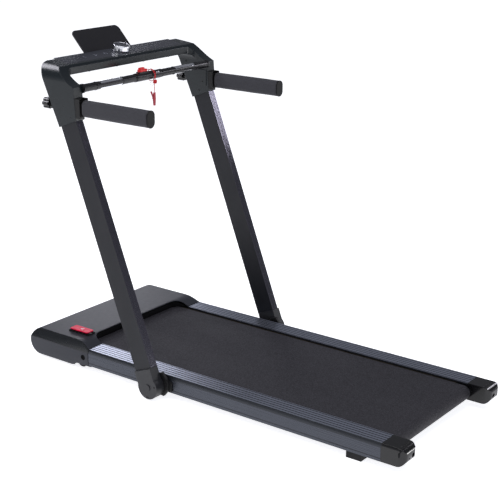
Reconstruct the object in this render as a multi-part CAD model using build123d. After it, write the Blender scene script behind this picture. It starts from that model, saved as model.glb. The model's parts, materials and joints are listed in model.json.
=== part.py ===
from build123d import *
import math
import os

# Foldable treadmill in millimetres. +Y points to the motor end, +X to the walker's right, +Z up.
# The origin is the centre of the floor under the deck.

# Overall sizes
deck_length = 1490.0
deck_width = 600.0
upright_length = 890.0
upright_lean = 21.0
fold_angle = 104.0

# Side rails, an aluminium extrusion
rail_width = 71.0
rail_top = 80.0
rail_bottom = 23.0
rail_wall = 2.5
bevel_width = 6.0
bevel_height = 13.0
ridge_pitch = 12.6
ridge_gap = 3.4
ridge_depth = 1.2
first_ridge_gap = 5.0
side_groove_height = 33.0
rear_cap_length = 80.0
rear_cap_wall = 3.0

# Steel frame under the deck
tube_side = 30.0
tube_wall = 2.0
cross_tube_depth = 25.0
board_thickness = 12.0
cushion_height = 4.0
cushion_radius = 9.0

# Walking belt and rollers
belt_side_clearance = 10.0
belt_thickness = 1.9
roller_radius = 22.0
roller_wall = 3.0
roller_overhang = 3.0
belt_clearance = 0.3
axle_radius = 6.0
bearing_radius = 13.0
bearing_width = 10.0
running_fit = 0.05
tension_bolt_radius = 3.5

# Motor hood
hood_length = 274.0
hood_top = 100.0
hood_floor = 9.0
hood_wall = 3.0
opening_reach = 51.0
opening_corner = 42.0
nose_radius = 46.0

# Motor, drive belt and control board
tray_thickness = 3.0
motor_radius = 34.0
motor_length = 146.0
motor_seat_height = 3.2
motor_pulley_radius = 14.0
pulley_tray_clearance = 1.9
pulley_width = 16.0
drive_belt_thickness = 2.0
drive_spacing = 88.0
flywheel_radius = 32.0
flywheel_width = 16.0
shaft_radius = 5.0

# Transport wheels and foot pedal
wheel_radius = 23.0
wheel_width = 18.0
wheel_z = 24.0
wheel_axle_radius = 4.0
pedal_width = 34.0
pedal_length = 82.0
small_pin_radius = 1.5

# Sockets in the nose
inlet_x = 190.0
inlet_half_width = 15.0
switch_x = 145.0
switch_half_width = 8.0
port_half_height = 12.0
port_fit = 0.2
rocker_depth = 11.0

# Hinge at the foot of the uprights
pivot_y = 163.0
pivot_z = 44.0
side_gap = 15.0
pin_radius = 10.0
shoe_radius = 39.0
shoe_height = 60.0
shoe_proud = 7.0
boss_clearance = 0.3
stop_pin_radius = 4.0
stop_orbit = 28.0
stop_depth = 6.0
stop_clearance = 0.3

# Uprights
upright_width = 30.0
upright_depth = 70.0
upright_wall = 2.5
upright_rib_pitch = 5.0
upright_rib_depth = 0.8

# Console head
leg_wall = 5.0
leg_flare = 4.5
leg_overlap = 82.0
head_corner = 60.0
inner_corner = 25.0
console_wall = 3.0
console_side_wall = 23.0
panel_thickness = 1.2
socket_clearance = 0.2

# Knob, holder, handles
knob_radius = 29.0
knob_height = 22.0
holder_width = 226.0
holder_height = 118.0
holder_thickness = 5.0
holder_lean = 43.0
bar_set_back = 16.95
bar_rise = 33.1
bar_radius = 11.0
sleeve_wall = 2.0
arm_drop = 56.0
arm_length = 290.0
arm_width = 34.0
arm_height = 54.0
arm_pin_radius = 3.0
arm_cap = 4.0
foam_wall = 5.0
fork_cheek = 4.0
clamp_radius = 18.5
clamp_screw_radius = 4.0
soft_gap = 0.3

# Safety key and its cord
cord_radius = 1.3

# Values worked out from the sizes above
half_width = deck_width / 2
rear_y = -deck_length / 2
nose_y = deck_length / 2
seam_y = nose_y - hood_length
rail_rear = rear_y + rear_cap_length
rail_inner = half_width - rail_width
belt_width = 2 * (rail_inner - belt_side_clearance)
web_x = half_width - 32.0
tube_top = rail_top - 24.0
tube_bottom = tube_top - tube_side
board_top = tube_top + cushion_height + board_thickness
roller_z = board_top + 0.5 - belt_clearance - roller_radius
rear_roller_y = rear_y + 89.0
front_roller_y = seam_y + 101.0
tray_bottom = hood_floor + hood_wall
tray_top = tray_bottom + tray_thickness
motor_y = front_roller_y + drive_spacing
motor_z = tray_top + motor_seat_height + motor_radius
drive_belt_room = drive_belt_thickness + belt_clearance + pulley_tray_clearance
drive_pulley_radius = roller_z - tray_top - drive_belt_room
flange_x = half_width - 17.0
upright_inner = half_width + side_gap
upright_outer = upright_inner + upright_width
leg_outer = upright_outer + leg_wall
leg_inner = upright_inner - leg_wall
pulley_x = -(belt_width / 2 + roller_overhang + 4.0 + pulley_width)
wheel_y = seam_y + 48.0
wheel_x = half_width - 30.0
pedal_x = -(half_width - 72.0)
pedal_start = seam_y + 54.0
pedal_base_top = hood_top + 4.0
pedal_top = hood_top + 11.0
pedal_pin_y = pedal_start + pedal_length - 6.0
pedal_pin_z = hood_top + 4.5
nose_port_z = (hood_top + hood_floor) / 2 + 2.0
lean_sin = math.sin(math.radians(upright_lean))
lean_cos = math.cos(math.radians(upright_lean))
upright_top = shoe_height + upright_length
leg_bottom = upright_top - leg_overlap
leg_half = upright_depth / 2 + leg_flare
bar_y = pivot_y + upright_top * lean_sin - leg_half - bar_set_back
bar_z = pivot_z + upright_top * lean_cos + bar_rise
beam_bottom = bar_z + 33.0
beam_rear = bar_y + 67.0
sleeve_radius = bar_radius + sleeve_wall
arm_z = bar_z - arm_drop
arm_pin_y = bar_y - 18.0
arm_pin_z = arm_z - 22.0
clamp_x = (upright_inner + upright_outer) / 2


def along_x(face, start, end):
    """Extrudes a (Y, Z) outline along X."""
    return extrude(Plane.YZ.offset(start) * face, amount=end - start, dir=(1, 0, 0))


def along_y(face, start, end):
    """Extrudes an (X, Z) outline along Y."""
    return extrude(Plane.XZ.offset(-start) * face, amount=end - start, dir=(0, 1, 0))


def along_z(face, start, end):
    """Extrudes an (X, Y) outline along Z."""
    return extrude(Plane.XY.offset(start) * face, amount=end - start, dir=(0, 0, 1))


def block(x, y, z):
    """A box from three (low, high) pairs."""
    centre = ((x[0] + x[1]) / 2, (y[0] + y[1]) / 2, (z[0] + z[1]) / 2)
    return Pos(*centre) * Box(x[1] - x[0], y[1] - y[0], z[1] - z[0])


def rod_x(y, z, radius, start, end):
    return along_x(Pos(y, z) * Circle(radius), start, end)


def rod_y(x, z, radius, start, end):
    return along_y(Pos(x, z) * Circle(radius), start, end)


def rod_z(x, y, radius, start, end):
    return along_z(Pos(x, y) * Circle(radius), start, end)


def outline(points, corners=()):
    """A polygon with the corners nearest to the given points rounded."""
    face = Polygon(*points, align=None)
    for point, radius in corners:
        corner = face.vertices().sort_by_distance((point[0], point[1], 0))[0]
        face = fillet(corner, radius)
    return face


def mirrored(part):
    """The same piece on the walker's other side."""
    return mirror(part, about=Plane.YZ)


def both(part):
    """The right-hand piece and its mirror image, as separate solids."""
    return Compound(children=[part, mirrored(part)])


def group(parts):
    """Separate solids in one node."""
    return Compound(children=list(parts))


def on_upright(along, across=0.0):
    """The (Y, Z) point that lies along the upright from the pivot, and across it towards the front."""
    y = pivot_y + along * lean_sin + across * lean_cos
    z = pivot_z + along * lean_cos - across * lean_sin
    return (y, z)


def strip(start, end, low, high):
    """An (Y, Z) rectangle in line with the upright."""
    return outline([on_upright(*corner) for corner in ((start, low), (start, high), (end, high), (end, low))])


# ---------------------------------------------------------------- deck


def side_rail():
    """Right-hand running board: ridged top, bevelled shoulder, side wall, lower lip and a web."""
    out = half_width
    top = rail_top
    wall = rail_wall
    lip = out - 20.0
    shoulder = top - bevel_height
    inner_drop = 5.5
    skin = [
        (rail_inner, top),
        (out - bevel_width, top),
        (out, shoulder),
        (out, rail_bottom),
        (lip, rail_bottom),
        (lip, rail_bottom + wall),
        (out - wall, rail_bottom + wall),
        (out - wall, shoulder - 0.5),
        (out - bevel_width - 1.8, top - wall),
        (web_x + wall, top - wall),
        (web_x + wall, tube_bottom),
        (web_x, tube_bottom),
        (web_x, top - wall),
        (rail_inner + wall, top - wall),
        (rail_inner + wall, top - inner_drop),
        (rail_inner, top - inner_drop),
    ]
    profile = outline(skin)
    count = 1 + int((rail_width - bevel_width - first_ridge_gap) / ridge_pitch)
    for index in range(count):
        x = rail_inner + first_ridge_gap + index * ridge_pitch
        profile -= Pos(x, top) * Rectangle(ridge_gap, 2 * ridge_depth)
    profile -= Pos(out, side_groove_height) * Rectangle(2.0, 1.6)
    return along_y(profile, rail_rear, seam_y)


def frame_side_tube():
    """Box tube with a nut plate welded in its rear end for the tension bolt."""
    tube = block((web_x - tube_side, web_x), (rail_rear + 25.0, seam_y), (tube_bottom, tube_top))
    hollow = block(
        (web_x - tube_side + tube_wall, web_x - tube_wall),
        (rail_rear, seam_y + 1.0),
        (tube_bottom + tube_wall, tube_top - tube_wall),
    )
    nut = block((web_x - tube_side, web_x), (rail_rear + 19.0, rail_rear + 25.0), (tube_bottom, tube_top))
    nut -= rod_y(web_x - tube_side / 2, roller_z, tension_bolt_radius, rail_rear + 15.0, rail_rear + 27.0)
    return tube - hollow + nut


def frame_cross_tubes():
    """Members between the two side tubes, inside the loop of the walking belt."""
    inner = web_x - tube_side
    low = tube_top - cross_tube_depth
    span = seam_y - rail_rear
    tubes = []
    for share in (0.12, 0.38, 0.64, 0.88):
        y = rail_rear + span * share
        tube = block((-inner, inner), (y - 12.5, y + 12.5), (low, tube_top))
        hollow = block((-inner, inner), (y - 10.5, y + 10.5), (low + tube_wall, tube_top - tube_wall))
        tubes.append(tube - hollow)
    return tubes


def deck_board():
    return block(
        (-(web_x - 2.0), web_x - 2.0),
        (rear_roller_y + roller_radius + 8.0, front_roller_y - drive_pulley_radius - 8.0),
        (board_top - board_thickness, board_top),
    )


def deck_cushions():
    """Rubber pucks between the board and the side tubes."""
    x = web_x - tube_side / 2
    span = seam_y - rail_rear - 90.0
    pucks = []
    for index in range(5):
        y = rail_rear + 50.0 + span * index / 4
        puck = rod_z(x, y, cushion_radius, tube_top, tube_top + cushion_height)
        pucks += [puck, mirrored(puck)]
    return group(pucks)


def walking_belt():
    """Closed loop round both rollers, with the running clearance inside."""
    inner = roller_radius + belt_clearance
    length = front_roller_y - rear_roller_y
    centre = ((front_roller_y + rear_roller_y) / 2, roller_z)
    loop = Pos(*centre) * SlotCenterToCenter(length, 2 * (inner + belt_thickness))
    loop -= Pos(*centre) * SlotCenterToCenter(length, 2 * inner)
    return along_x(loop, -belt_width / 2, belt_width / 2)


def roller(y):
    """Steel tube with end plugs that turn on the bearings."""
    half = belt_width / 2 + roller_overhang
    wall = Circle(roller_radius) - Circle(roller_radius - roller_wall)
    tube = along_x(Pos(y, roller_z) * wall, -half, half)
    seat = Circle(roller_radius - roller_wall) - Circle(bearing_radius + running_fit)
    plug = along_x(Pos(y, roller_z) * seat, half - bearing_width - 4.0, half)
    return tube + plug + mirrored(plug)


def roller_bearings(y):
    """Deep-groove bearings, shown as their two rings and the seal between."""
    half = belt_width / 2 + roller_overhang
    start = half - bearing_width - 1.0
    bore = axle_radius
    face = Pos(y, roller_z) * (Circle(bearing_radius) - Circle(bore))
    ring = along_x(face, start, start + bearing_width)
    groove = Pos(y, roller_z) * (Circle(bearing_radius - 2.0) - Circle(bore + 2.0))
    ring -= along_x(groove, start + bearing_width - 0.6, start + bearing_width + 1.0)
    return [ring, mirrored(ring)]


def rear_axle():
    half = web_x - 5.0
    axle = rod_x(rear_roller_y, roller_z, axle_radius, -half, half)
    x = web_x - tube_side / 2
    for side in (-1, 1):
        axle -= rod_y(side * x, roller_z, tension_bolt_radius, rear_roller_y - 9.0, rear_roller_y + 9.0)
    return axle


def front_axle():
    end = flange_x + tray_thickness
    return rod_x(front_roller_y, roller_z, axle_radius, -end, end)


def tension_bolt():
    """Hexagon socket bolt that pulls the rear axle back and so tensions the walking belt."""
    x = web_x - tube_side / 2
    head_y = rear_y + 16.0
    bolt = rod_y(x, roller_z, tension_bolt_radius, head_y, rail_rear + 45.0)
    bolt += rod_y(x, roller_z, 6.5, head_y - 8.0, head_y)
    bolt -= along_y(Pos(x, roller_z) * RegularPolygon(3.4, 6), head_y - 8.0, head_y - 4.0)
    return bolt


def cap_outline(inset):
    """Side view of a rear cap: round at the top rear, long curve at the bottom rear."""
    low = rail_bottom + inset
    high = rail_top - inset
    rear = rear_y + inset
    points = [(rail_rear, low), (rail_rear, high), (rear, high), (rear, low)]
    corners = [((rear, high), 26.0 - inset), ((rear, low), 30.0 - inset)]
    return outline(points, corners)


def cap_section(inset):
    """Front view of a rear cap, with the rail's bevel carried on."""
    low = rail_bottom - 1.0 + inset
    high = rail_top - inset
    out = half_width - inset
    points = [
        (rail_inner + inset, low),
        (rail_inner + inset, high),
        (out - bevel_width, high),
        (out, rail_top - bevel_height),
        (out, low),
    ]
    return outline(points)


def rear_cap():
    """Hollow end cap that covers the end of a rail and the tension bolt."""
    x = web_x - tube_side / 2
    shell = along_x(cap_outline(0.0), rail_inner, half_width)
    shell &= along_y(cap_section(0.0), rear_y - 1.0, rail_rear)
    plan = outline(
        [
            (rail_inner, rail_rear + 1.0),
            (half_width, rail_rear + 1.0),
            (half_width, rear_y),
            (rail_inner, rear_y),
        ],
        [((half_width, rear_y), 24.0), ((rail_inner, rear_y), 20.0)],
    )
    shell &= along_z(plan, 0.0, 100.0)
    hollow = along_x(cap_outline(rear_cap_wall), rail_inner, half_width - rear_cap_wall)
    hollow &= along_y(cap_section(rear_cap_wall), rear_y + 6.0, rail_rear)
    inner_plan = outline(
        [
            (rail_inner - 1.0, rail_rear + 1.0),
            (half_width - rear_cap_wall, rail_rear + 1.0),
            (half_width - rear_cap_wall, rear_y + 5.0),
            (rail_inner - 1.0, rear_y + 5.0),
        ],
        [((half_width - rear_cap_wall, rear_y + 5.0), 22.0), ((rail_inner - 1.0, rear_y + 5.0), 18.0)],
    )
    shell -= hollow & along_z(inner_plan, 0.0, 100.0)
    axle_slot = block(
        (rail_inner - 1.0, rail_inner + rear_cap_wall + 1.0),
        (rear_roller_y - axle_radius - 8.0, rail_rear + 1.0),
        (roller_z - axle_radius - 1.0, roller_z + axle_radius + 1.0),
    )
    shell -= axle_slot
    shell -= rod_y(x, roller_z, 7.5, rear_y - 1.0, rear_y + 12.0)
    shell -= rod_y(x + 20.0, roller_z - 4.0, 3.6, rear_y - 1.0, rear_y + 14.0)
    return shell


def rear_cap_screw():
    """Screw through a cap into the end of the rail's chamber."""
    x = web_x + 5.0
    screw = rod_y(x, roller_z - 4.0, 2.0, rear_y + 14.0, rail_rear + 20.0)
    screw += rod_y(x, roller_z - 4.0, 3.4, rear_y + 12.0, rear_y + 15.0)
    return screw


def rear_feet():
    """Rubber blocks under the rails near the rear end."""
    x = (half_width - 38.0, half_width - 4.0)
    y = (rail_rear + 65.0, rail_rear + 117.0)
    foot = block(x, y, (0.0, rail_bottom))
    foot += block((x[0], web_x), y, (rail_bottom, tube_bottom))
    return [foot, mirrored(foot)]


# ---------------------------------------------------------------- hood and drive


def hood_outline(inset):
    """Side view of the hood: blunt round nose, flat top and a roll down to the rails."""
    top = hood_top - inset
    low = hood_floor if inset == 0.0 else hood_floor - 5.0
    nose = nose_y - inset
    roll = seam_y + 62.0
    rear = seam_y if inset == 0.0 else seam_y - 5.0
    seam_high = rail_top - inset
    radius = nose_radius - inset
    mid = (hood_top + hood_floor) / 2
    lower = hood_floor + 13.0
    edge = Line((rear, lower), (rear, seam_high))
    edge += Bezier((rear, seam_high), (seam_y + 22.0, seam_high + 11.0), (seam_y + 32.0, top), (roll, top))
    edge += Line((roll, top), (nose - radius + 2.0, top))
    if inset == 0.0:
        edge += ThreePointArc((nose - radius + 2.0, top), (nose, mid + 2.0), (nose - radius + 2.0, low))
        edge += Line((nose - radius + 2.0, low), (seam_y + 78.0, low))
        edge += Line((seam_y + 78.0, low), (rear, lower))
        return make_face(edge)
    bend_y = nose - radius + 2.0
    edge += ThreePointArc((bend_y, top), (nose, mid + 2.0), (bend_y, hood_floor + inset))
    edge += Line((bend_y, hood_floor + inset), (bend_y, low))
    edge += Line((bend_y, low), (rear, low))
    edge += Line((rear, low), (rear, lower))
    return make_face(edge)


def hood_section(inset):
    """Front view of the hood, with the rails' bevel carried up to the hood's top."""
    out = half_width - inset
    shoulder = rail_top - bevel_height
    rise = hood_top + 20.0 - shoulder
    run = rise * bevel_width / bevel_height
    points = [
        (-out, -10.0),
        (-out, shoulder),
        (-out + run, hood_top + 20.0),
        (out - run, hood_top + 20.0),
        (out, shoulder),
        (out, -10.0),
    ]
    return outline(points)


def hood_opening():
    """Plan of the arch that the walking belt runs into."""
    reach = seam_y + opening_reach
    behind = seam_y - 50.0
    points = [(-rail_inner, behind), (-rail_inner, reach), (rail_inner, reach), (rail_inner, behind)]
    corners = [((-rail_inner, reach), opening_corner), ((rail_inner, reach), opening_corner)]
    return outline(points, corners)


def hood_cover():
    shell = along_x(hood_outline(0.0), -half_width, half_width)
    shell &= along_y(hood_section(0.0), seam_y, nose_y + 1.0)
    inner = along_x(hood_outline(hood_wall), -half_width, half_width)
    inner &= along_y(hood_section(hood_wall), seam_y - 5.0, nose_y + 1.0)
    shell -= inner
    shell -= along_z(hood_opening(), 0.0, hood_top + 1.0)
    port_z = (nose_port_z - port_half_height, nose_port_z + port_half_height)
    for x, half in ((inlet_x, inlet_half_width), (switch_x, switch_half_width)):
        shell -= block((x - half, x + half), (nose_y - 20.0, nose_y + 1.0), port_z)
    arch = along_x(wheel_arch(), half_width - 5.0, half_width + 1.0)
    return shell - arch - mirrored(arch)


def wheel_arch():
    """Low arch in the hood's side, so that the wheel's lower part shows."""
    return Pos(wheel_y, hood_floor - 12.0) * Circle(wheel_radius)


def belly_pan():
    """Flat cover under the motor, with openings for the wheels and screw lugs at its edges."""
    edge = nose_y - nose_radius
    pan = block(
        (-(half_width - hood_wall - 0.5), half_width - hood_wall - 0.5),
        (seam_y + 78.0, edge),
        (hood_floor, hood_floor + hood_wall),
    )
    return pan


def motor_tray():
    """Folded steel tray that carries the motor, the front axle, the wheels and the control board."""
    start = seam_y + 2.0
    plate = block((-flange_x, flange_x), (start, nose_y - nose_radius), (tray_bottom, tray_top))
    flange_end = flange_x + tray_thickness
    flange = block((flange_x, flange_end), (start, nose_y - nose_radius), (tray_bottom, tube_top + 8.0))
    flange -= rod_x(front_roller_y, roller_z, axle_radius, flange_x - 1.0, flange_end + 1.0)
    flange -= rod_x(wheel_y, wheel_z, wheel_axle_radius, flange_x - 1.0, flange_end + 1.0)
    hole_x = (wheel_x - wheel_width / 2 - 2.0, flange_x)
    hole_y = (wheel_y - wheel_radius - 2.0, wheel_y + wheel_radius + 2.0)
    hole = block(hole_x, hole_y, (tray_bottom - 1.0, tray_top + 1.0))
    tray = plate + flange + mirrored(flange)
    tray -= hole
    tray -= mirrored(hole)
    ear_x = wheel_x - wheel_width / 2 - 5.0
    ear = block((ear_x - 3.0, ear_x), (wheel_y - 12.0, wheel_y + 12.0), (tray_top, wheel_z + 12.0))
    ear -= rod_x(wheel_y, wheel_z, wheel_axle_radius, ear_x - 4.0, ear_x + 1.0)
    start = pulley_x + pulley_width + 16.0 + flywheel_width
    saddle_y = (motor_y - 24.0, motor_y + 24.0)
    saddle = block((start + 25.0, start + motor_length - 25.0), saddle_y, (tray_top, tray_top + 16.0))
    saddle -= rod_x(motor_y, motor_z, motor_radius, start, start + motor_length)
    stub = rod_x(wheel_y, wheel_z, wheel_axle_radius, ear_x - 3.0, flange_end)
    return tray + ear + mirrored(ear) + saddle + stub + mirrored(stub)


def front_cross_member():
    """Box tube that joins the side tubes to the tray."""
    low = tube_top - cross_tube_depth
    start = seam_y
    end = seam_y + cross_tube_depth
    tube = block((-flange_x, flange_x), (start, end), (low, tube_top))
    inside = (low + tube_wall, tube_top - tube_wall)
    tube -= block((-flange_x - 1.0, flange_x + 1.0), (start + tube_wall, end - tube_wall), inside)
    return tube


def transport_wheel():
    face = Pos(wheel_y, wheel_z) * (Circle(wheel_radius) - Circle(wheel_axle_radius + running_fit))
    wheel = along_x(face, wheel_x - wheel_width / 2, wheel_x + wheel_width / 2)
    dish = Pos(wheel_y, wheel_z) * (Circle(wheel_radius - 6.0) - Circle(9.0))
    wheel -= along_x(dish, wheel_x + wheel_width / 2 - 3.0, wheel_x + wheel_width / 2 + 1.0)
    return wheel


def front_feet():
    """Rubber pads under the belly pan."""
    pads = []
    y = nose_y - nose_radius - 24.0
    for x in (-(half_width - 60.0), half_width - 60.0):
        pads.append(rod_z(x, y, 14.0, 0.0, hood_floor))
    return pads


def front_roller_pulley():
    """Poly-V pulley on the end of the front roller."""
    face = Pos(front_roller_y, roller_z) * (Circle(drive_pulley_radius) - Circle(axle_radius + 1.0))
    pulley = along_x(face, pulley_x, pulley_x + pulley_width)
    hub = Pos(front_roller_y, roller_z) * (Circle(roller_radius - roller_wall) - Circle(bearing_radius + 0.5))
    pulley += along_x(hub, pulley_x + pulley_width, -(belt_width / 2 + roller_overhang))
    rim = Circle(drive_pulley_radius + 1.0) - Circle(drive_pulley_radius - 1.0)
    for index in range(5):
        x = pulley_x + 3.0 + index * 2.4
        pulley -= along_x(Pos(front_roller_y, roller_z) * rim, x, x + 1.2)
    return pulley


def motor_rotor():
    """Motor shaft with its small pulley, the flywheel and the armature inside the can."""
    end = pulley_x + pulley_width + 22.0 + flywheel_width + motor_length
    rotor = rod_x(motor_y, motor_z, shaft_radius, pulley_x - 3.0, end + 4.0)
    rotor += rod_x(motor_y, motor_z, motor_pulley_radius, pulley_x, pulley_x + pulley_width)
    wheel_start = pulley_x + pulley_width + 8.0
    rotor += rod_x(motor_y, motor_z, flywheel_radius, wheel_start, wheel_start + flywheel_width)
    can_start = wheel_start + flywheel_width + 8.0
    rotor += rod_x(motor_y, motor_z, motor_radius - 8.0, can_start + 14.0, can_start + motor_length - 14.0)
    return rotor


def motor_can():
    """Motor housing with bearing seats at both ends."""
    start = pulley_x + pulley_width + 16.0 + flywheel_width
    face = Pos(motor_y, motor_z) * Circle(motor_radius)
    can = along_x(face, start, start + motor_length)
    cavity = Pos(motor_y, motor_z) * Circle(motor_radius - 4.0)
    can -= along_x(cavity, start + 10.0, start + motor_length - 10.0)
    bore = Pos(motor_y, motor_z) * Circle(shaft_radius + running_fit)
    can -= along_x(bore, start - 1.0, start + motor_length + 1.0)
    return can


def drive_belt():
    """Ribbed belt from the motor pulley to the front roller's pulley."""
    gap = belt_clearance
    big = drive_pulley_radius + gap
    small = motor_pulley_radius + gap
    thick = drive_belt_thickness

    def loop(extra):
        wide = Pos(front_roller_y, roller_z) * Circle(big + extra)
        narrow = Pos(motor_y, motor_z) * Circle(small + extra)
        return make_hull((wide + narrow).edges())

    return along_x(loop(thick) - loop(0.0), pulley_x + 1.0, pulley_x + pulley_width - 1.0)


board_x = 60.0


def control_board():
    """Circuit board on four short posts, with its capacitors."""
    y = motor_y - 36.0
    low = tray_top + 8.0
    board = block((board_x, board_x + 150.0), (y, y + 80.0), (low, low + 1.6))
    for x in (board_x + 8.0, board_x + 142.0):
        for post_y in (y + 8.0, y + 72.0):
            board += rod_z(x, post_y, 3.0, tray_top, low)
    for index in range(3):
        board += rod_z(board_x + 30.0 + index * 22.0, y + 22.0, 8.0, low + 1.6, low + 28.0)
    return board


def heat_sink():
    """Finned aluminium block on the control board."""
    y = motor_y + 2.0
    low = tray_top + 9.6
    sink = block((board_x + 20.0, board_x + 120.0), (y, y + 34.0), (low, low + 30.0))
    for index in range(7):
        x = board_x + 27.0 + index * 14.0
        sink -= block((x, x + 9.0), (y - 1.0, y + 35.0), (low + 5.0, low + 31.0))
    return sink


def port_span():
    """Height of a socket let into one of the nose's two holes."""
    half = port_half_height - port_fit
    return (nose_port_z - half, nose_port_z + half)


def power_inlet():
    """Three-pin appliance inlet in the nose."""
    half_x = inlet_half_width - port_fit
    half_z = port_half_height - port_fit
    body = block((inlet_x - half_x, inlet_x + half_x), (nose_y - 30.0, nose_y - 1.0), port_span())
    wide = half_x - 3.0
    tall = half_z - 3.0
    bevel = 4.0
    corners = [
        (-wide, -tall),
        (wide, -tall),
        (wide, tall - bevel),
        (wide - bevel, tall),
        (-wide + bevel, tall),
        (-wide, tall - bevel),
    ]
    recess = Pos(inlet_x, nose_port_z) * outline(corners)
    body -= along_y(recess, nose_y - 20.0, nose_y)
    for offset, height in ((-6.0, -1.5), (0.0, 2.5), (6.0, -1.5)):
        pin_x = inlet_x + offset
        pin_z = nose_port_z + height
        body += block((pin_x - 1.0, pin_x + 1.0), (nose_y - 21.0, nose_y - 6.0), (pin_z - 2.0, pin_z + 2.0))
    return body


def switch_bezel():
    x = (switch_x - switch_half_width + port_fit, switch_x + switch_half_width - port_fit)
    z = port_span()
    bezel = block(x, (nose_y - 26.0, nose_y - 1.0), z)
    bezel -= block((x[0] + 1.8, x[1] - 1.8), (nose_y - 22.0, nose_y), (z[0] + 2.0, z[1] - 2.0))
    pin = rod_x(nose_y - rocker_depth, nose_port_z, small_pin_radius, x[0] + 1.0, x[1] - 1.0)
    return bezel + pin


def power_switch():
    """Rocker that tips on the bezel's pin."""
    width = 5.7
    face = outline([(-5.0, -7.5), (8.5, -7.5), (7.0, 0.0), (10.5, 7.5), (-5.0, 7.5)])
    face &= Circle(9.3) + Pos(6.0, 0.0) * Rectangle(12.0, 14.0)
    face -= Circle(small_pin_radius + running_fit)
    face = Pos(nose_y - rocker_depth, nose_port_z) * face
    return along_x(face, switch_x - width, switch_x + width)


def pedal_base():
    """Dark tray that the foot pedal sinks into, with the ears of its hinge."""
    x = (pedal_x - pedal_width / 2 - 2.0, pedal_x + pedal_width / 2 + 2.0)
    y = (pedal_start - 3.0, pedal_start + pedal_length + 3.0)
    base = block(x, y, (hood_top, pedal_base_top))
    rim = 1.6
    pocket_z = (hood_top + 1.0, pedal_base_top + 1.0)
    base -= block((x[0] + rim, x[1] - rim), (y[0] + rim, y[1] - rim), pocket_z)
    for side in (-1, 1):
        ear_x = pedal_x + side * (pedal_width / 2 - 5.0)
        ear_z = (hood_top + 1.0, hood_top + 7.0)
        base += block((ear_x - 1.5, ear_x + 1.5), (pedal_pin_y - 4.0, pedal_pin_y + 4.0), ear_z)
    pin_half = pedal_width / 2 - 1.0
    pin = rod_x(pedal_pin_y, pedal_pin_z, small_pin_radius, pedal_x - pin_half, pedal_x + pin_half)
    return base + pin


def release_pedal():
    """Red foot pedal, hinged at its front end, with a raised triangle."""
    x = (pedal_x - pedal_width / 2, pedal_x + pedal_width / 2)
    y = (pedal_start, pedal_start + pedal_length)
    low = hood_top + 7.5
    pedal = block(x, y, (low, pedal_top))
    lug_y = (pedal_pin_y - 4.0, pedal_pin_y + 4.0)
    lug = block((pedal_x - 9.0, pedal_x + 9.0), lug_y, (hood_top + 1.5, low))
    lug -= rod_x(pedal_pin_y, pedal_pin_z, small_pin_radius + running_fit, pedal_x - 10.0, pedal_x + 10.0)
    pedal += lug
    mark_y = (y[0] + y[1]) / 2
    mark = outline([(pedal_x - 4.0, mark_y - 3.0), (pedal_x + 4.0, mark_y - 3.0), (pedal_x, mark_y + 5.0)])
    return pedal + along_z(mark, pedal_top, pedal_top + 0.6)


def pedal_spring():
    """Coil spring under the pedal's rear half, closed as a sleeve."""
    y = pedal_start + 24.0
    sleeve = rod_z(pedal_x, y, 5.0, hood_top + 1.0, hood_top + 7.2)
    return sleeve - rod_z(pedal_x, y, 3.6, hood_top, hood_top + 8.0)


# ---------------------------------------------------------------- hinge and uprights


def hinge_bracket():
    """Plate on the rail's side with the boss that carries the pivot and the stop pin."""
    start = half_width
    boss_start = start + 5.0
    boss_end = upright_inner - boss_clearance
    plate = outline(
        [(-62.0, -16.0), (-62.0, 16.0), (-40.0, 22.0), (40.0, 22.0), (58.0, 12.0), (58.0, -16.0)],
        [((-62.0, -16.0), 6.0), ((58.0, -16.0), 6.0)],
    )
    bracket = along_x(Pos(pivot_y, pivot_z) * plate, start, boss_start)
    bracket += rod_x(pivot_y, pivot_z, shoe_radius - 3.0, boss_start, boss_end)
    rear_block = outline(
        [(-50.0, -14.0), (-56.0, 18.0), (-30.0, 48.0), (-8.0, 40.0), (0.0, -30.0), (-36.0, -32.0)],
        [((-56.0, 18.0), 10.0), ((-30.0, 48.0), 8.0)],
    )
    bracket += along_x(Pos(pivot_y, pivot_z) * rear_block, boss_start, boss_end)
    bracket -= rod_x(pivot_y, pivot_z, pin_radius, start - 1.0, upright_inner + 1.0)
    stop = on_circle(stop_orbit, -90.0 - upright_lean)
    bracket += rod_x(stop[0], stop[1], stop_pin_radius, boss_end, upright_inner + stop_depth - 1.0)
    return bracket


def on_circle(radius, angle):
    """The (Y, Z) point at an angle from +Y round the pivot."""
    y = pivot_y + radius * math.cos(math.radians(angle))
    z = pivot_z + radius * math.sin(math.radians(angle))
    return (y, z)


def hinge_pin():
    """Shouldered pin, fixed in the bracket, with a round cap outside the shoe."""
    outer = upright_outer + shoe_proud
    pin = rod_x(pivot_y, pivot_z, pin_radius, half_width, outer + boss_clearance)
    return pin + rod_x(pivot_y, pivot_z, pin_radius + 1.5, outer + boss_clearance, outer + 2.5)


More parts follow.
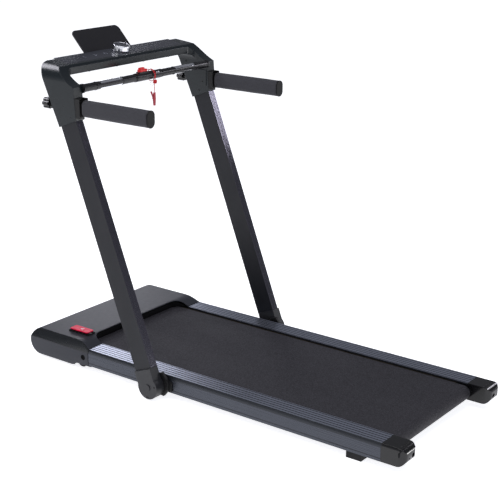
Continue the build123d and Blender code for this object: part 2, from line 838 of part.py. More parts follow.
def hinge_shoe():
    """Foot of the upright: a rounded casting with a spigot that fills the tube's lower end."""
    half = upright_depth / 2
    outer = upright_outer + shoe_proud
    body = strip(0.0, shoe_height, -half, half) + Pos(pivot_y, pivot_z) * Circle(shoe_radius)
    shoe = along_x(body, upright_inner, outer)
    step = strip(shoe_height - 1.2, shoe_height + 1.0, -half - 5.0, half + 5.0)
    shoe -= along_x(step, upright_outer + 1.0, outer + 1.0)
    inner = half - upright_wall
    spigot = strip(shoe_height, shoe_height + 70.0, -inner, inner)
    shoe += along_x(spigot, upright_inner + upright_wall, upright_outer - upright_wall)
    shoe -= rod_x(pivot_y, pivot_z, pin_radius + running_fit, upright_inner - 1.0, outer + 1.0)
    start = -90.0 - upright_lean
    margin = math.degrees(stop_clearance / stop_orbit)
    groove_arc = CenterArc((pivot_y, pivot_z), stop_orbit, start + margin, -(fold_angle + 2 * margin))
    groove = SlotArc(groove_arc, 2 * (stop_pin_radius + stop_clearance))
    shoe -= along_x(groove, upright_inner - 1.0, upright_inner + stop_depth)
    return shoe


def upright():
    """Aluminium tube with fine ribs down its rear face."""
    half = upright_depth / 2
    section = strip(shoe_height, upright_top, -half, half)
    tube = along_x(section, upright_inner, upright_outer)
    inner = half - upright_wall
    hollow = strip(shoe_height - 1.0, upright_top + 1.0, -inner, inner)
    tube -= along_x(hollow, upright_inner + upright_wall, upright_outer - upright_wall)
    count = int((upright_width - 6.0) / upright_rib_pitch) + 1
    groove = strip(shoe_height - 1.0, upright_top + 1.0, -half - 1.0, -half + upright_rib_depth)
    first = upright_inner + (upright_width - (count - 1) * upright_rib_pitch) / 2
    for index in range(count):
        x = first + index * upright_rib_pitch
        tube -= along_x(groove, x - 1.0, x + 1.0)
    tube -= rod_y(clamp_x, arm_z, clamp_screw_radius + 1.0, bar_y - 60.0, bar_y + 160.0)
    return tube


# ---------------------------------------------------------------- console head


def head_outline():
    """Side view of the head, from the lower end of its leg to the sloping top."""
    front_low = on_upright(leg_bottom, leg_half)
    rear_low = on_upright(leg_bottom, -leg_half)
    rear_corner = (bar_y - 2.0, bar_z + 8.0)
    top_rear = (bar_y + 73.0, bar_z + 63.0)
    top_front = (bar_y + 160.0, bar_z + 79.0)
    front_high = (bar_y + 144.0, bar_z + 53.0)
    slope = Spline(rear_corner, (bar_y + 28.0, bar_z + 23.0), top_rear)
    edge = Line(rear_low, rear_corner) + slope + Line(top_rear, top_front)
    edge += Line(top_front, front_high) + Line(front_high, front_low) + Line(front_low, rear_low)
    face = make_face(edge)
    for point, radius in ((top_front, 10.0), (front_high, 20.0)):
        corner = face.vertices().sort_by_distance((point[0], point[1], 0))[0]
        face = fillet(corner, radius)
    return face


top_slope = math.degrees(math.atan2(16.0, 87.0))
top_mid = (bar_y + 116.5, bar_z + 71.0)
top_plane = Plane(
    origin=(0, top_mid[0], top_mid[1]),
    x_dir=(1, 0, 0),
    z_dir=(0, -math.sin(math.radians(top_slope)), math.cos(math.radians(top_slope))),
)
panel_width = 2 * (leg_inner - 30.0)
panel_depth = 66.0
cavity_half = leg_inner - console_side_wall - leg_wall
spindle_radius = 3.0
spindle_hole_radius = 4.5
cover_screw_x = (-195.0, -65.0, 65.0, 195.0)


def console_housing():
    """One moulding: two legs joined by a beam, with round shoulders."""
    head = along_x(head_outline(), -leg_outer, leg_outer)
    high = bar_z + 90.0
    shoulder_top = bar_z + 79.0
    front = outline(
        [(-leg_outer, 700.0), (-leg_outer, shoulder_top), (leg_outer, shoulder_top), (leg_outer, 700.0)],
        [((-leg_outer, shoulder_top), head_corner), ((leg_outer, shoulder_top), head_corner)],
    )
    head &= along_y(front, bar_y - 100.0, bar_y + 250.0)
    gap = outline(
        [(-leg_inner, 700.0), (-leg_inner, beam_bottom), (leg_inner, beam_bottom), (leg_inner, 700.0)],
        [((-leg_inner, beam_bottom), inner_corner), ((leg_inner, beam_bottom), inner_corner)],
    )
    head -= along_y(gap, bar_y - 100.0, bar_y + 250.0)
    behind = bar_y - 100.0
    plan = outline(
        [(-leg_inner, behind), (-leg_inner, beam_rear), (leg_inner, beam_rear), (leg_inner, behind)],
        [((-leg_inner, beam_rear), inner_corner), ((leg_inner, beam_rear), inner_corner)],
    )
    head -= along_z(plan, beam_bottom - 60.0, high)
    cavity = outline(
        [
            (beam_rear + console_wall, beam_bottom - 1.0),
            (beam_rear + console_wall, beam_bottom + 24.0),
            (bar_y + 144.0, beam_bottom + 34.0),
            (bar_y + 130.0, beam_bottom - 1.0),
        ]
    )
    head -= along_x(cavity, -cavity_half, cavity_half)
    socket_half = upright_depth / 2 + socket_clearance
    socket = strip(leg_bottom - 20.0, upright_top + socket_clearance, -socket_half, socket_half)
    pocket = along_x(socket, upright_inner - socket_clearance, upright_outer + socket_clearance)
    head -= pocket
    head -= mirrored(pocket)
    screw_hole = rod_y(clamp_x, arm_z, clamp_screw_radius + 0.5, bar_y - 60.0, bar_y + 160.0)
    head -= screw_hole
    head -= mirrored(screw_hole)
    head -= top_plane * (Pos(0, 0, -panel_thickness / 2) * Box(panel_width, panel_depth, panel_thickness))
    head -= top_plane * (Pos(0, 0, -8) * Cylinder(spindle_hole_radius, 20.0))
    return head


def console_cover():
    """Underside cover of the beam, let into the cavity."""
    y = (beam_rear + console_wall, bar_y + 130.0)
    cover = block((-cavity_half, cavity_half), y, (beam_bottom, beam_bottom + 2.0))
    for x in cover_screw_x:
        cover -= rod_z(x, beam_rear + 9.0, 1.5, beam_bottom - 1.0, beam_bottom + 3.0)
    return cover


def touch_panel():
    panel = top_plane * (Pos(0, 0, -panel_thickness / 2) * Box(panel_width, panel_depth, panel_thickness))
    return panel - top_plane * Cylinder(spindle_hole_radius, 20.0)


def console_board():
    """Circuit board on two posts, with the rotary encoder and its spindle through the panel."""
    y = (beam_rear + 10.0, bar_y + 124.0)
    board = block((-150.0, 150.0), y, (beam_bottom + 8.0, beam_bottom + 9.6))
    for x in (-130.0, 130.0):
        board += rod_z(x, (y[0] + y[1]) / 2, 4.0, beam_bottom + 2.0, beam_bottom + 8.0)
    encoder_y = (top_mid[0] - 7.0, top_mid[0] + 9.0)
    encoder = block((-8.0, 8.0), encoder_y, (beam_bottom + 9.6, beam_bottom + 24.0))
    return board + encoder + top_plane * (Pos(0, 0, -8.0) * Cylinder(spindle_radius, 26.0))


def speed_knob():
    """Chromed ring with a fluted edge and a bore for the spindle."""
    ring = top_plane * (Pos(0, 0, knob_height / 2 + 0.4) * Cylinder(knob_radius, knob_height - 0.8))
    ring -= top_plane * (Pos(0, 0, knob_height - 0.4) * Cylinder(knob_radius - 4.0, 1.2))
    ring -= top_plane * (Pos(0, 0, 2.5) * Cylinder(spindle_radius + running_fit, 6.0))
    return ring


def cover_screws():
    """Small screws along the lower rear edge of the beam."""
    screws = []
    for x in cover_screw_x:
        head = rod_z(x, beam_rear + 9.0, 3.5, beam_bottom - 2.0, beam_bottom)
        screws.append(head + rod_z(x, beam_rear + 9.0, 1.5, beam_bottom - 0.5, beam_bottom + 2.0))
    return group(screws)


holder_pin = (bar_y + 159.0, bar_z + 46.0)
holder_pin_radius = 2.5
knuckle_radius = 6.0


def holder_axis(distance, offset=0.0):
    """The (Y, Z) point up the tablet plate from its hinge."""
    s = math.sin(math.radians(holder_lean))
    c = math.cos(math.radians(holder_lean))
    return (holder_pin[0] + distance * s + offset * c, holder_pin[1] + distance * c - offset * s)


def tablet_holder():
    """Thin plate with round top corners, hinged in front of the beam."""
    plane = Plane(
        origin=(0, holder_pin[0], holder_pin[1]),
        x_dir=(1, 0, 0),
        z_dir=(0, math.cos(math.radians(holder_lean)), -math.sin(math.radians(holder_lean))),
    )
    upward = 1.0 if plane.y_dir.Z > 0 else -1.0
    half = holder_width / 2
    low = 8.0 * upward
    high = holder_height * upward
    plate = outline(
        [(-half, low), (half, low), (half, high), (-half, high)],
        [((-half, high), 18.0), ((half, high), 18.0)],
    )
    body = extrude(plane.offset(-holder_thickness / 2) * plate, amount=holder_thickness)
    for side in (-1, 1):
        x = side * 42.0
        knuckle = rod_x(*holder_pin, knuckle_radius, x - 14.0, x + 14.0)
        root = ((0.0, -3.0), (10.0, -holder_thickness / 2), (10.0, holder_thickness / 2), (0.0, 3.0))
        arm = outline([holder_axis(*corner) for corner in root])
        knuckle += along_x(arm, x - 14.0, x + 14.0)
        body += knuckle - rod_x(*holder_pin, holder_pin_radius + running_fit, x - 15.0, x + 15.0)
    return body


def holder_bracket():
    """Ears on the front of the beam that carry the plate's pin."""
    ears = []
    for x in (-62.0, -22.0, 22.0, 62.0):
        web = outline([(-27.0, -10.0), (0.0, -knuckle_radius), (0.0, knuckle_radius), (-20.0, 8.0)])
        profile = Pos(*holder_pin) * (web + Circle(knuckle_radius))
        ear = along_x(profile, x - 5.0, x + 5.0)
        ears.append(ear - along_x(head_outline(), -200.0, 200.0))
    pin = rod_x(*holder_pin, holder_pin_radius, -67.0, 67.0)
    for ear in ears:
        pin += ear
    return pin


# ---------------------------------------------------------------- cross bar and safety key

key_x = -26.0
key_base = bar_z + sleeve_radius + 4.0
sleeve_inner = 62.0
sensor_span = (132.0, 232.0)
sensor_depth = 0.8
sensor_gap = 14.0


def cross_bar():
    return rod_x(bar_y, bar_z, bar_radius, -leg_inner, leg_inner)


def sensor_sections():
    """Cross-sections of the upper and the lower hand-pulse plate, bent round the sleeve."""
    ring = Pos(bar_y, bar_z) * (Circle(sleeve_radius) - Circle(sleeve_radius - sensor_depth))
    ring = ring - Pos(bar_y, bar_z) * Rectangle(4 * sleeve_radius, sensor_gap)
    return [Sketch() + face for face in ring.faces()]


def bar_sleeve():
    """Plastic sleeve on one half of the bar, with seats for its sensor plates."""
    face = Pos(bar_y, bar_z) * (Circle(sleeve_radius) - Circle(bar_radius))
    sleeve = along_x(face, sleeve_inner, leg_inner)
    flange = Pos(bar_y, bar_z) * (Circle(sleeve_radius + 2.0) - Circle(bar_radius))
    sleeve += along_x(flange, leg_inner - 6.0, leg_inner)
    for section in sensor_sections():
        sleeve -= along_x(section, *sensor_span)
    return sleeve


def sensor_plates():
    """Chromed hand-pulse plates: an upper and a lower one on each side of the bar."""
    plates = []
    for section in sensor_sections():
        plate = along_x(section, *sensor_span)
        plates += [plate, mirrored(plate)]
    return group(plates)


def key_socket():
    """Module in the middle of the bar that the safety key sits on."""
    face = Pos(bar_y, bar_z) * (Circle(sleeve_radius + 1.5) - Circle(bar_radius))
    socket = along_x(face, -sleeve_inner, sleeve_inner)
    seat_z = (bar_z + sleeve_radius - 1.0, key_base)
    seat = block((key_x - 20.0, key_x + 20.0), (bar_y - 9.0, bar_y + 9.0), seat_z)
    return socket + seat


def safety_key():
    """Red magnetic key: a rounded bar with an eye for the cord at its end."""
    key = along_z(Pos(key_x, bar_y) * SlotOverall(40.0, 17.0), key_base, key_base + 7.0)
    key += along_z(Pos(key_x - 4.0, bar_y) * SlotOverall(26.0, 11.0), key_base + 7.0, key_base + 13.0)
    return key


cord_points = [
    (-5.6, 447.0, 984.5),
    (4.0, 446.0, 985.0),
    (12.0, 437.0, 983.0),
    (14.0, 428.5, 972.0),
    (14.5, 427.5, 959.0),
    (15.0, 436.0, 947.0),
    (16.0, 448.0, 943.5),
    (17.5, 461.0, 949.0),
    (18.5, 467.0, 961.0),
    (19.5, 463.0, 975.0),
    (20.5, 453.0, 983.5),
    (21.0, 441.0, 982.5),
    (20.5, 430.5, 974.0),
    (18.0, 427.0, 961.0),
    (15.0, 428.5, 948.0),
    (13.0, 429.5, 934.0),
    (13.5, 430.0, 920.0),
    (13.0, 430.0, 908.0),
]


def corner_radii(points):
    """The largest arc at each corner of a cord's route."""
    radii = []
    for before, here, after in zip(points, points[1:], points[2:]):
        first = Vector(*here) - Vector(*before)
        second = Vector(*after) - Vector(*here)
        turn = math.radians(first.get_angle(second))
        radii.append(0.45 * min(first.length, second.length) / math.tan(turn / 2))
    return radii


def safety_cord():
    """Thin cord from the key, once and a half round the bar, and down to the clip."""
    radii = corner_radii(cord_points)
    path = FilletPolyline(*cord_points, radius=radii)
    section = math.pi * cord_radius**2
    print("cord radii", [round(r, 1) for r in radii], "length", round(path.length, 1))
    start = Plane(origin=cord_points[0], z_dir=Vector(*cord_points[1]) - Vector(*cord_points[0]))
    cord = sweep(start * Circle(cord_radius), path=path)
    print("cord volume", round(cord.volume, 1), "section x length", round(section * path.length, 1))
    return cord


clip_top = cord_points[-1]
clip_pin = (clip_top[1] + 3.2, clip_top[2] - 20.0)
clip_pin_radius = 1.0
clip_half = 4.5
knot_radius = 7.0
knot_centre = (cord_points[14][0], cord_points[14][1] - 1.0, cord_points[14][2] - 4.0)
ring_radius = 6.0
ring_turn = 36.6
ring_drop = 32.0
ring_wire = 0.7
ring_seat_gap = 0.2


def cord_clip():
    """Fixed half of the clothes clip, with the eye that the cord is tied to."""
    x, y, z = clip_top
    leg = outline([(2.0, 0.0), (-2.0, 0.0), (-3.0, -20.0), (-1.5, -44.0), (0.5, -44.0), (0.8, -20.0)])
    half = along_x(Pos(y, z) * leg, x - clip_half, x + clip_half)
    cheek = Pos(*clip_pin) * (Circle(2.6) + Pos(-2.2, 0.0) * Rectangle(4.0, 3.0))
    half += along_x(cheek, x - clip_half, x - clip_half + 1.5)
    half += along_x(cheek, x + clip_half - 1.5, x + clip_half)
    return half + rod_x(*clip_pin, clip_pin_radius, x - clip_half, x + clip_half)


def clip_jaw():
    """Sprung half of the clip, hinged on the fixed half's pin."""
    x = clip_top[0]
    leg = outline([(12.8, 21.0), (10.3, 22.0), (-1.6, 1.5), (-2.0, -23.0), (0.2, -23.0), (2.6, 0.0)])
    jaw = along_x(Pos(*clip_pin) * leg, x - 2.8, x + 2.8)
    return jaw - rod_x(*clip_pin, clip_pin_radius + running_fit, x - 5.0, x + 5.0)


def cord_knot():
    """Knot that ties the cord's turns together under the bar, as one round bead on the cord."""
    return Pos(*knot_centre) * Sphere(knot_radius)


def split_ring():
    """Small wire ring that hangs from the knot, its wire against the knot's underside."""
    reach = knot_radius + ring_seat_gap + ring_wire + ring_radius
    side = Vector(-math.sin(math.radians(ring_turn)), math.cos(math.radians(ring_turn)), 0.0)
    away = side * math.cos(math.radians(ring_drop)) - Vector(0.0, 0.0, math.sin(math.radians(ring_drop)))
    upright_ring = Rot(0, 0, ring_turn) * Rot(0, 90, 0) * Torus(ring_radius, ring_wire)
    return Pos(*(Vector(*knot_centre) + away * reach)) * upright_ring


# ---------------------------------------------------------------- arms and clamp knobs

arm_root_y = bar_y - 12.0
arm_tip_y = arm_root_y - arm_length


def arm_oval(grow):
    """The arm's upright oval section, larger by the given wall."""
    oval = Rot(0, 0, 90) * SlotOverall(arm_height + 2 * grow, arm_width + 2 * grow)
    return Pos(clamp_x, arm_z) * oval


def leg_rear_at(z):
    """Y of the leg's rear face at a height."""
    low = on_upright(leg_bottom, -leg_half)
    high = (bar_y - 2.0, bar_z + 8.0)
    return low[0] + (high[0] - low[0]) * (z - low[1]) / (high[1] - low[1])


def arm_bracket():
    """Fork on the leg's rear face with the pin of the arm."""
    z = (arm_pin_z - 9.0, arm_z + arm_height / 2 + 3.0)
    y = (arm_pin_y - 9.0, leg_rear_at(z[1]) + 10.0)
    fork = block((leg_inner + 0.5, leg_outer - 0.5), y, z)
    mouth_x = (leg_inner + fork_cheek, leg_outer - fork_cheek)
    fork -= block(mouth_x, (y[0] - 1.0, arm_root_y + 1.0), (z[0] - 1.0, z[1] + 1.0))
    fork -= along_x(head_outline(), leg_inner - 1.0, leg_outer + 1.0)
    fork += rod_x(arm_pin_y, arm_pin_z, arm_pin_radius, leg_inner + 0.5, leg_outer - 0.5)
    fork -= rod_y(clamp_x, arm_z, clamp_screw_radius + 0.5, y[0], y[1] + 1.0)
    return fork


def arm_tube():
    """Steel core of the arm with its end cap and the root casting that swings on the pin."""
    x = (leg_inner + fork_cheek + 0.4, leg_outer - fork_cheek - 0.4)
    root = block(x, (arm_root_y - 16.0, arm_root_y), (arm_pin_z - 5.5, arm_z + 22.0))
    heel = Pos(arm_pin_y, arm_pin_z) * Circle(6.5)
    root -= block((x[0] - 1.0, x[1] + 1.0), (arm_pin_y, arm_root_y + 1.0), (arm_pin_z - 7.0, arm_pin_z))
    root += along_x(heel, *x)
    tube = root + along_y(arm_oval(-foam_wall), arm_tip_y + arm_cap, arm_root_y - 15.0)
    tube -= along_y(arm_oval(-foam_wall - 2.0), arm_tip_y + arm_cap - 1.0, arm_root_y - 22.0)
    tube -= rod_x(arm_pin_y, arm_pin_z, arm_pin_radius + running_fit, x[0] - 1.0, x[1] + 1.0)
    return tube + along_y(arm_oval(0.3), arm_tip_y, arm_tip_y + arm_cap)


def arm_grip():
    """Foam sleeve of the arm."""
    return along_y(arm_oval(0.0) - arm_oval(-foam_wall), arm_tip_y + arm_cap, arm_root_y - 20.0)


def front_face_at(z):
    """Y of the head's front face at a height."""
    low = on_upright(leg_bottom, leg_half)
    high = (bar_y + 144.0, bar_z + 53.0)
    return low[0] + (high[0] - low[0]) * (z - low[1]) / (high[1] - low[1])


def clamp_knob():
    """Star knob with a metal collar and the screw that clamps the arm."""
    near = front_face_at(arm_z + 10.0) + 1.0
    knob = rod_y(clamp_x, arm_z, clamp_radius, near + 14.0, near + 38.0)
    for index in range(6):
        angle = math.radians(60.0 * index + 30.0)
        x = clamp_x + (clamp_radius + 1.5) * math.cos(angle)
        z = arm_z + (clamp_radius + 1.5) * math.sin(angle)
        knob -= rod_y(x, z, 5.0, near + 13.0, near + 39.0)
    knob += rod_y(clamp_x, arm_z, 9.0, near, near + 14.0)
    return knob + rod_y(clamp_x, arm_z, clamp_screw_radius, arm_root_y + soft_gap, near)


nodes = {}
nodes["side_rails"] = both(side_rail())
nodes["frame_side_tubes"] = both(frame_side_tube())
nodes["frame_cross_tubes"] = group(frame_cross_tubes() + [front_cross_member()])
nodes["deck_board"] = deck_board()
nodes["deck_cushions"] = deck_cushions()
nodes["walking_belt"] = walking_belt()
nodes["rear_roller"] = roller(rear_roller_y)
nodes["front_roller"] = roller(front_roller_y)
nodes["front_roller_pulley"] = front_roller_pulley()
nodes["roller_bearings"] = group(roller_bearings(rear_roller_y) + roller_bearings(front_roller_y))
nodes["roller_axles"] = group([rear_axle(), front_axle()])
nodes["tension_bolts"] = both(tension_bolt())
nodes["rear_caps"] = both(rear_cap())
nodes["rear_cap_screws"] = both(rear_cap_screw())
nodes["rubber_feet"] = group(rear_feet() + front_feet())
nodes["hood_cover"] = hood_cover()
nodes["belly_pan"] = belly_pan()
nodes["motor_tray"] = motor_tray()
nodes["right_transport_wheel"] = transport_wheel()
nodes["left_transport_wheel"] = mirrored(transport_wheel())
nodes["motor_can"] = motor_can()
nodes["motor_rotor"] = motor_rotor()
nodes["drive_belt"] = drive_belt()
nodes["control_board"] = control_board()
nodes["heat_sink"] = heat_sink()
nodes["power_inlet"] = power_inlet()
nodes["switch_bezel"] = switch_bezel()
nodes["power_switch"] = power_switch()
nodes["pedal_base"] = pedal_base()
nodes["release_pedal"] = release_pedal()
nodes["pedal_spring"] = pedal_spring()
nodes["hinge_brackets"] = both(hinge_bracket())
nodes["hinge_pins"] = both(hinge_pin())
nodes["hinge_shoes"] = both(hinge_shoe())
nodes["uprights"] = both(upright())
nodes["console_housing"] = console_housing()
nodes["console_cover"] = console_cover()
nodes["touch_panel"] = touch_panel()
nodes["console_board"] = console_board()
nodes["speed_knob"] = speed_knob()
nodes["cover_screws"] = cover_screws()
nodes["tablet_holder"] = tablet_holder()
nodes["holder_bracket"] = holder_bracket()
nodes["cross_bar"] = cross_bar()
nodes["bar_sleeves"] = both(bar_sleeve())
nodes["sensor_plates"] = sensor_plates()
nodes["key_socket"] = key_socket()
nodes["safety_key"] = safety_key()
nodes["safety_cord"] = safety_cord()
nodes["cord_knot"] = cord_knot()
nodes["split_ring"] = split_ring()
nodes["cord_clip"] = cord_clip()
nodes["clip_jaw"] = clip_jaw()
nodes["arm_brackets"] = both(arm_bracket())
for side, place in (("right", lambda part: part), ("left", mirrored)):
    nodes[side + "_arm_tube"] = place(arm_tube())
    nodes[side + "_arm_grip"] = place(arm_grip())
    nodes[side + "_clamp_knob"] = place(clamp_knob())

os.makedirs("parts", exist_ok=True)
for name, shape in nodes.items():
    export_step(shape, "parts/" + name + ".step")
print(len(nodes), "nodes")
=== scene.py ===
import bpy
import bmesh
import json
import math
from mathutils import Matrix, Vector, noise
from mathutils.bvhtree import BVHTree

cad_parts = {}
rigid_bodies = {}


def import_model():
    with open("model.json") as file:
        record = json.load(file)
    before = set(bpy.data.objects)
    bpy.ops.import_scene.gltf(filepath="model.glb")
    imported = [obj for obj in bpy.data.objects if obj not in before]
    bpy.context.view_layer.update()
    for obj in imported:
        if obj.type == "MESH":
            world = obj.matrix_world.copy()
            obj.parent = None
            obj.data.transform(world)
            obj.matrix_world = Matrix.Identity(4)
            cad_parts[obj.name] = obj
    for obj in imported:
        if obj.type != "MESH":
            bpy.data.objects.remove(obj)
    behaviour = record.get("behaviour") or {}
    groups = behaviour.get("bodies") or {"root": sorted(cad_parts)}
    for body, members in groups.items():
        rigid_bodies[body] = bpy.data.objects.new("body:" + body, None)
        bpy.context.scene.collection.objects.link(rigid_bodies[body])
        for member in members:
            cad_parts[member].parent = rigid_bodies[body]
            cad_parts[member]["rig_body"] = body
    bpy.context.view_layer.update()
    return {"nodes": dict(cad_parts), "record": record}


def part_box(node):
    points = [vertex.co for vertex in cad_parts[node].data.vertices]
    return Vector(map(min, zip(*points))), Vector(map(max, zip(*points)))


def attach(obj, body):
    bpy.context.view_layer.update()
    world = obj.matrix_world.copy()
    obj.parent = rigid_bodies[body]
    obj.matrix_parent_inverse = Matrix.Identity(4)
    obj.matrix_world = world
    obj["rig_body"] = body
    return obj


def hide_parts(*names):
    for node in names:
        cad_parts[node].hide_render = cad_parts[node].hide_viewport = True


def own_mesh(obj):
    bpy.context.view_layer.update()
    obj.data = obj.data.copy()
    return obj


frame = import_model()
nodes = frame["nodes"]
node_slot = {part["node"]: part["material_slot"] for part in frame["record"]["subparts"]}

MM = 0.001
WELD = 0.01 * MM
FLAT = math.radians(0.6)  # faces that turn by less than this are one flat face
SHARP = math.radians(32.0)  # edges that turn by more than this are rounded
SHORTEST_ROUNDED = 1.6  # an edge shorter than this many radii keeps its corner
ROUNDING_STEPS = 2
LEAN = math.radians(21.0)  # of the uprights, towards the hood


# ---------------------------------------------------------------- camera


def add_camera():
    """Stands behind the deck and to its left, and looks down over it towards the hood."""
    data = bpy.data.cameras.new("camera")
    data.sensor_width = 36.0
    data.lens = 88.78
    data.clip_end = 100.0
    camera = bpy.data.objects.new("camera", data)
    bpy.context.scene.collection.objects.link(camera)
    place = Vector((-3.0486, -2.2411, 1.6522))
    yaw = math.radians(53.421)
    pitch = math.radians(17.667)
    roll = math.radians(0.381)
    flat = math.cos(pitch)
    forward = Vector((math.sin(yaw) * flat, math.cos(yaw) * flat, -math.sin(pitch)))
    level = Vector((math.cos(yaw), -math.sin(yaw), 0.0))
    upward = level.cross(forward)
    right = math.cos(roll) * level + math.sin(roll) * upward
    up = -math.sin(roll) * level + math.cos(roll) * upward
    turn = Matrix((right, up, -forward)).transposed().to_4x4()
    camera.matrix_world = Matrix.Translation(place) @ turn
    bpy.context.scene.camera = camera


add_camera()


# ---------------------------------------------------------------- making pieces


def add_piece(name, verts, faces, body, material, slot, smooth_angle=40.0):
    """A mesh in metres, in the object's own frame, that rides on a body."""
    mesh = bpy.data.meshes.new(name)
    mesh.from_pydata([tuple(v) for v in verts], [], faces)
    mesh.validate()
    piece = bpy.data.objects.new(name, mesh)
    bpy.context.scene.collection.objects.link(piece)
    fix_normals(mesh)
    mesh.materials.append(material)
    shade(mesh, smooth_angle)
    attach(piece, body)
    return piece


def fix_normals(mesh):
    bm = bmesh.new()
    bm.from_mesh(mesh)
    bmesh.ops.recalc_face_normals(bm, faces=bm.faces)
    bm.to_mesh(mesh)
    bm.free()


def shade(mesh, angle):
    for face in mesh.polygons:
        face.use_smooth = True
    mesh.set_sharp_from_angle(angle=math.radians(angle))


def weight_normals(piece):
    modifier = piece.modifiers.new("normals", "WEIGHTED_NORMAL")
    modifier.keep_sharp = True


def rounded_copy(node, radius, material, smooth_angle=42.0):
    """A finished copy of a CAD node, with its sharp edges rounded by a radius in mm."""
    bm = bmesh.new()
    bm.from_mesh(nodes[node].data)
    bmesh.ops.remove_doubles(bm, verts=bm.verts, dist=WELD)
    bmesh.ops.dissolve_limit(bm, angle_limit=FLAT, verts=bm.verts, edges=bm.edges)
    bmesh.ops.recalc_face_normals(bm, faces=bm.faces)
    shortest = SHORTEST_ROUNDED * radius * MM
    edges = []
    for edge in bm.edges:
        if len(edge.link_faces) != 2 or edge.calc_length() < shortest:
            continue
        if edge.calc_face_angle() > SHARP:
            edges.append(edge)
    if radius > 0 and edges:
        bmesh.ops.bevel(
            bm,
            geom=edges,
            offset=radius * MM,
            segments=ROUNDING_STEPS,
            profile=0.5,
            affect="EDGES",
            clamp_overlap=False,
        )
    verts = [v.co.copy() for v in bm.verts]
    bm.verts.index_update()
    faces = [[v.index for v in face.verts] for face in bm.faces]
    bm.free()
    name = node + "_finish"
    body = nodes[node]["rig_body"]
    piece = add_piece(name, verts, faces, body, material, node_slot[node], smooth_angle)
    weight_normals(piece)
    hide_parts(node)
    return piece


def swept(sections, closed_ends=True):
    """Verts and faces of a skin through equal rings of points."""
    count = len(sections[0])
    verts = [point for ring in sections for point in ring]
    faces = []
    for row in range(len(sections) - 1):
        for index in range(count):
            after = (index + 1) % count
            low = row * count
            faces.append((low + index, low + after, low + count + after, low + count + index))
    if closed_ends:
        faces.append(tuple(range(count)))
        last = (len(sections) - 1) * count
        faces.append(tuple(last + index for index in range(count)))
    return verts, faces


def frames_along(path):
    """Two directions square to a path at each of its points, carried along without twist."""
    pairs = []
    side = None
    for index, point in enumerate(path):
        ahead = path[min(index + 1, len(path) - 1)] - path[max(index - 1, 0)]
        ahead.normalize()
        if side is None:
            side = ahead.orthogonal().normalized()
        side = (side - ahead * side.dot(ahead)).normalized()
        pairs.append((side.copy(), ahead.cross(side).normalized()))
    return pairs


def tube(path, radius, sides=12):
    """Verts and faces of a tube, with a radius or a function from its share of length to one."""
    sections = []
    pairs = frames_along(path)
    for index, point in enumerate(path):
        share = index / (len(path) - 1)
        size = radius(share) if callable(radius) else radius
        first, second = pairs[index]
        ring = []
        for step in range(sides):
            angle = 2 * math.pi * step / sides
            spoke = first * math.cos(angle) + second * math.sin(angle)
            ring.append(point + spoke * size)
        sections.append(ring)
    return swept(sections)


def lathe(profile, origin, axis, steps=64):
    """Verts and faces of a turned shape from (radius, height) pairs in mm about an axis."""
    axis = Vector(axis).normalized()
    first = axis.orthogonal().normalized()
    second = axis.cross(first)
    sections = []
    for radius, height in profile:
        ring = []
        for step in range(steps):
            angle = 2 * math.pi * step / steps
            spoke = first * math.cos(angle) + second * math.sin(angle)
            ring.append(Vector(origin) + axis * (height * MM) + spoke * (radius * MM))
        sections.append(ring)
    return swept(sections)


def joined(parts):
    """Verts and faces of several shapes as one mesh."""
    verts = []
    faces = []
    for part_verts, part_faces in parts:
        start = len(verts)
        verts.extend(part_verts)
        faces.extend([tuple(start + index for index in face) for face in part_faces])
    return verts, faces


def mirrored(part):
    verts, faces = part
    return [Vector((-v[0], v[1], v[2])) for v in verts], faces


# ---------------------------------------------------------------- materials


def even(scale):
    """The same scale in all three directions."""
    return (scale, scale, scale)


def start_material(name, colour, roughness, metallic=0.0, specular=0.5):
    material = bpy.data.materials.new(name)
    material.use_nodes = True
    shader = material.node_tree.nodes["Principled BSDF"]
    shader.inputs["Base Color"].default_value = (*colour, 1)
    shader.inputs["Roughness"].default_value = roughness
    shader.inputs["Metallic"].default_value = metallic
    shader.inputs["Specular IOR Level"].default_value = specular
    return material


def texture_space(material, scale):
    """Object coordinates in metres, times a scale for each direction."""
    tree = material.node_tree
    coordinates = tree.nodes.new("ShaderNodeTexCoord")
    mapping = tree.nodes.new("ShaderNodeMapping")
    mapping.inputs["Scale"].default_value = scale
    tree.links.new(coordinates.outputs["Object"], mapping.inputs["Vector"])
    return mapping.outputs["Vector"]


def noise_field(material, scale, detail=3.0, roughness=0.55):
    tree = material.node_tree
    field = tree.nodes.new("ShaderNodeTexNoise")
    field.inputs["Scale"].default_value = 1.0
    field.inputs["Detail"].default_value = detail
    field.inputs["Roughness"].default_value = roughness
    tree.links.new(texture_space(material, scale), field.inputs["Vector"])
    return field.outputs["Fac"]


def spread(material, value, low, high, start=0.3, end=0.7):
    """Stretches the middle of a field to run from low to high."""
    tree = material.node_tree
    limits = tree.nodes.new("ShaderNodeMapRange")
    limits.inputs["From Min"].default_value = start
    limits.inputs["From Max"].default_value = end
    limits.inputs["To Min"].default_value = low
    limits.inputs["To Max"].default_value = high
    tree.links.new(value, limits.inputs["Value"])
    return limits.outputs["Result"]


def colour_between(material, value, dark, light):
    tree = material.node_tree
    mix = tree.nodes.new("ShaderNodeMix")
    mix.data_type = "RGBA"
    mix.inputs["A"].default_value = (*dark, 1)
    mix.inputs["B"].default_value = (*light, 1)
    tree.links.new(value, mix.inputs["Factor"])
    tree.links.new(mix.outputs["Result"], tree.nodes["Principled BSDF"].inputs["Base Color"])


def vary_roughness(material, value):
    tree = material.node_tree
    tree.links.new(value, tree.nodes["Principled BSDF"].inputs["Roughness"])


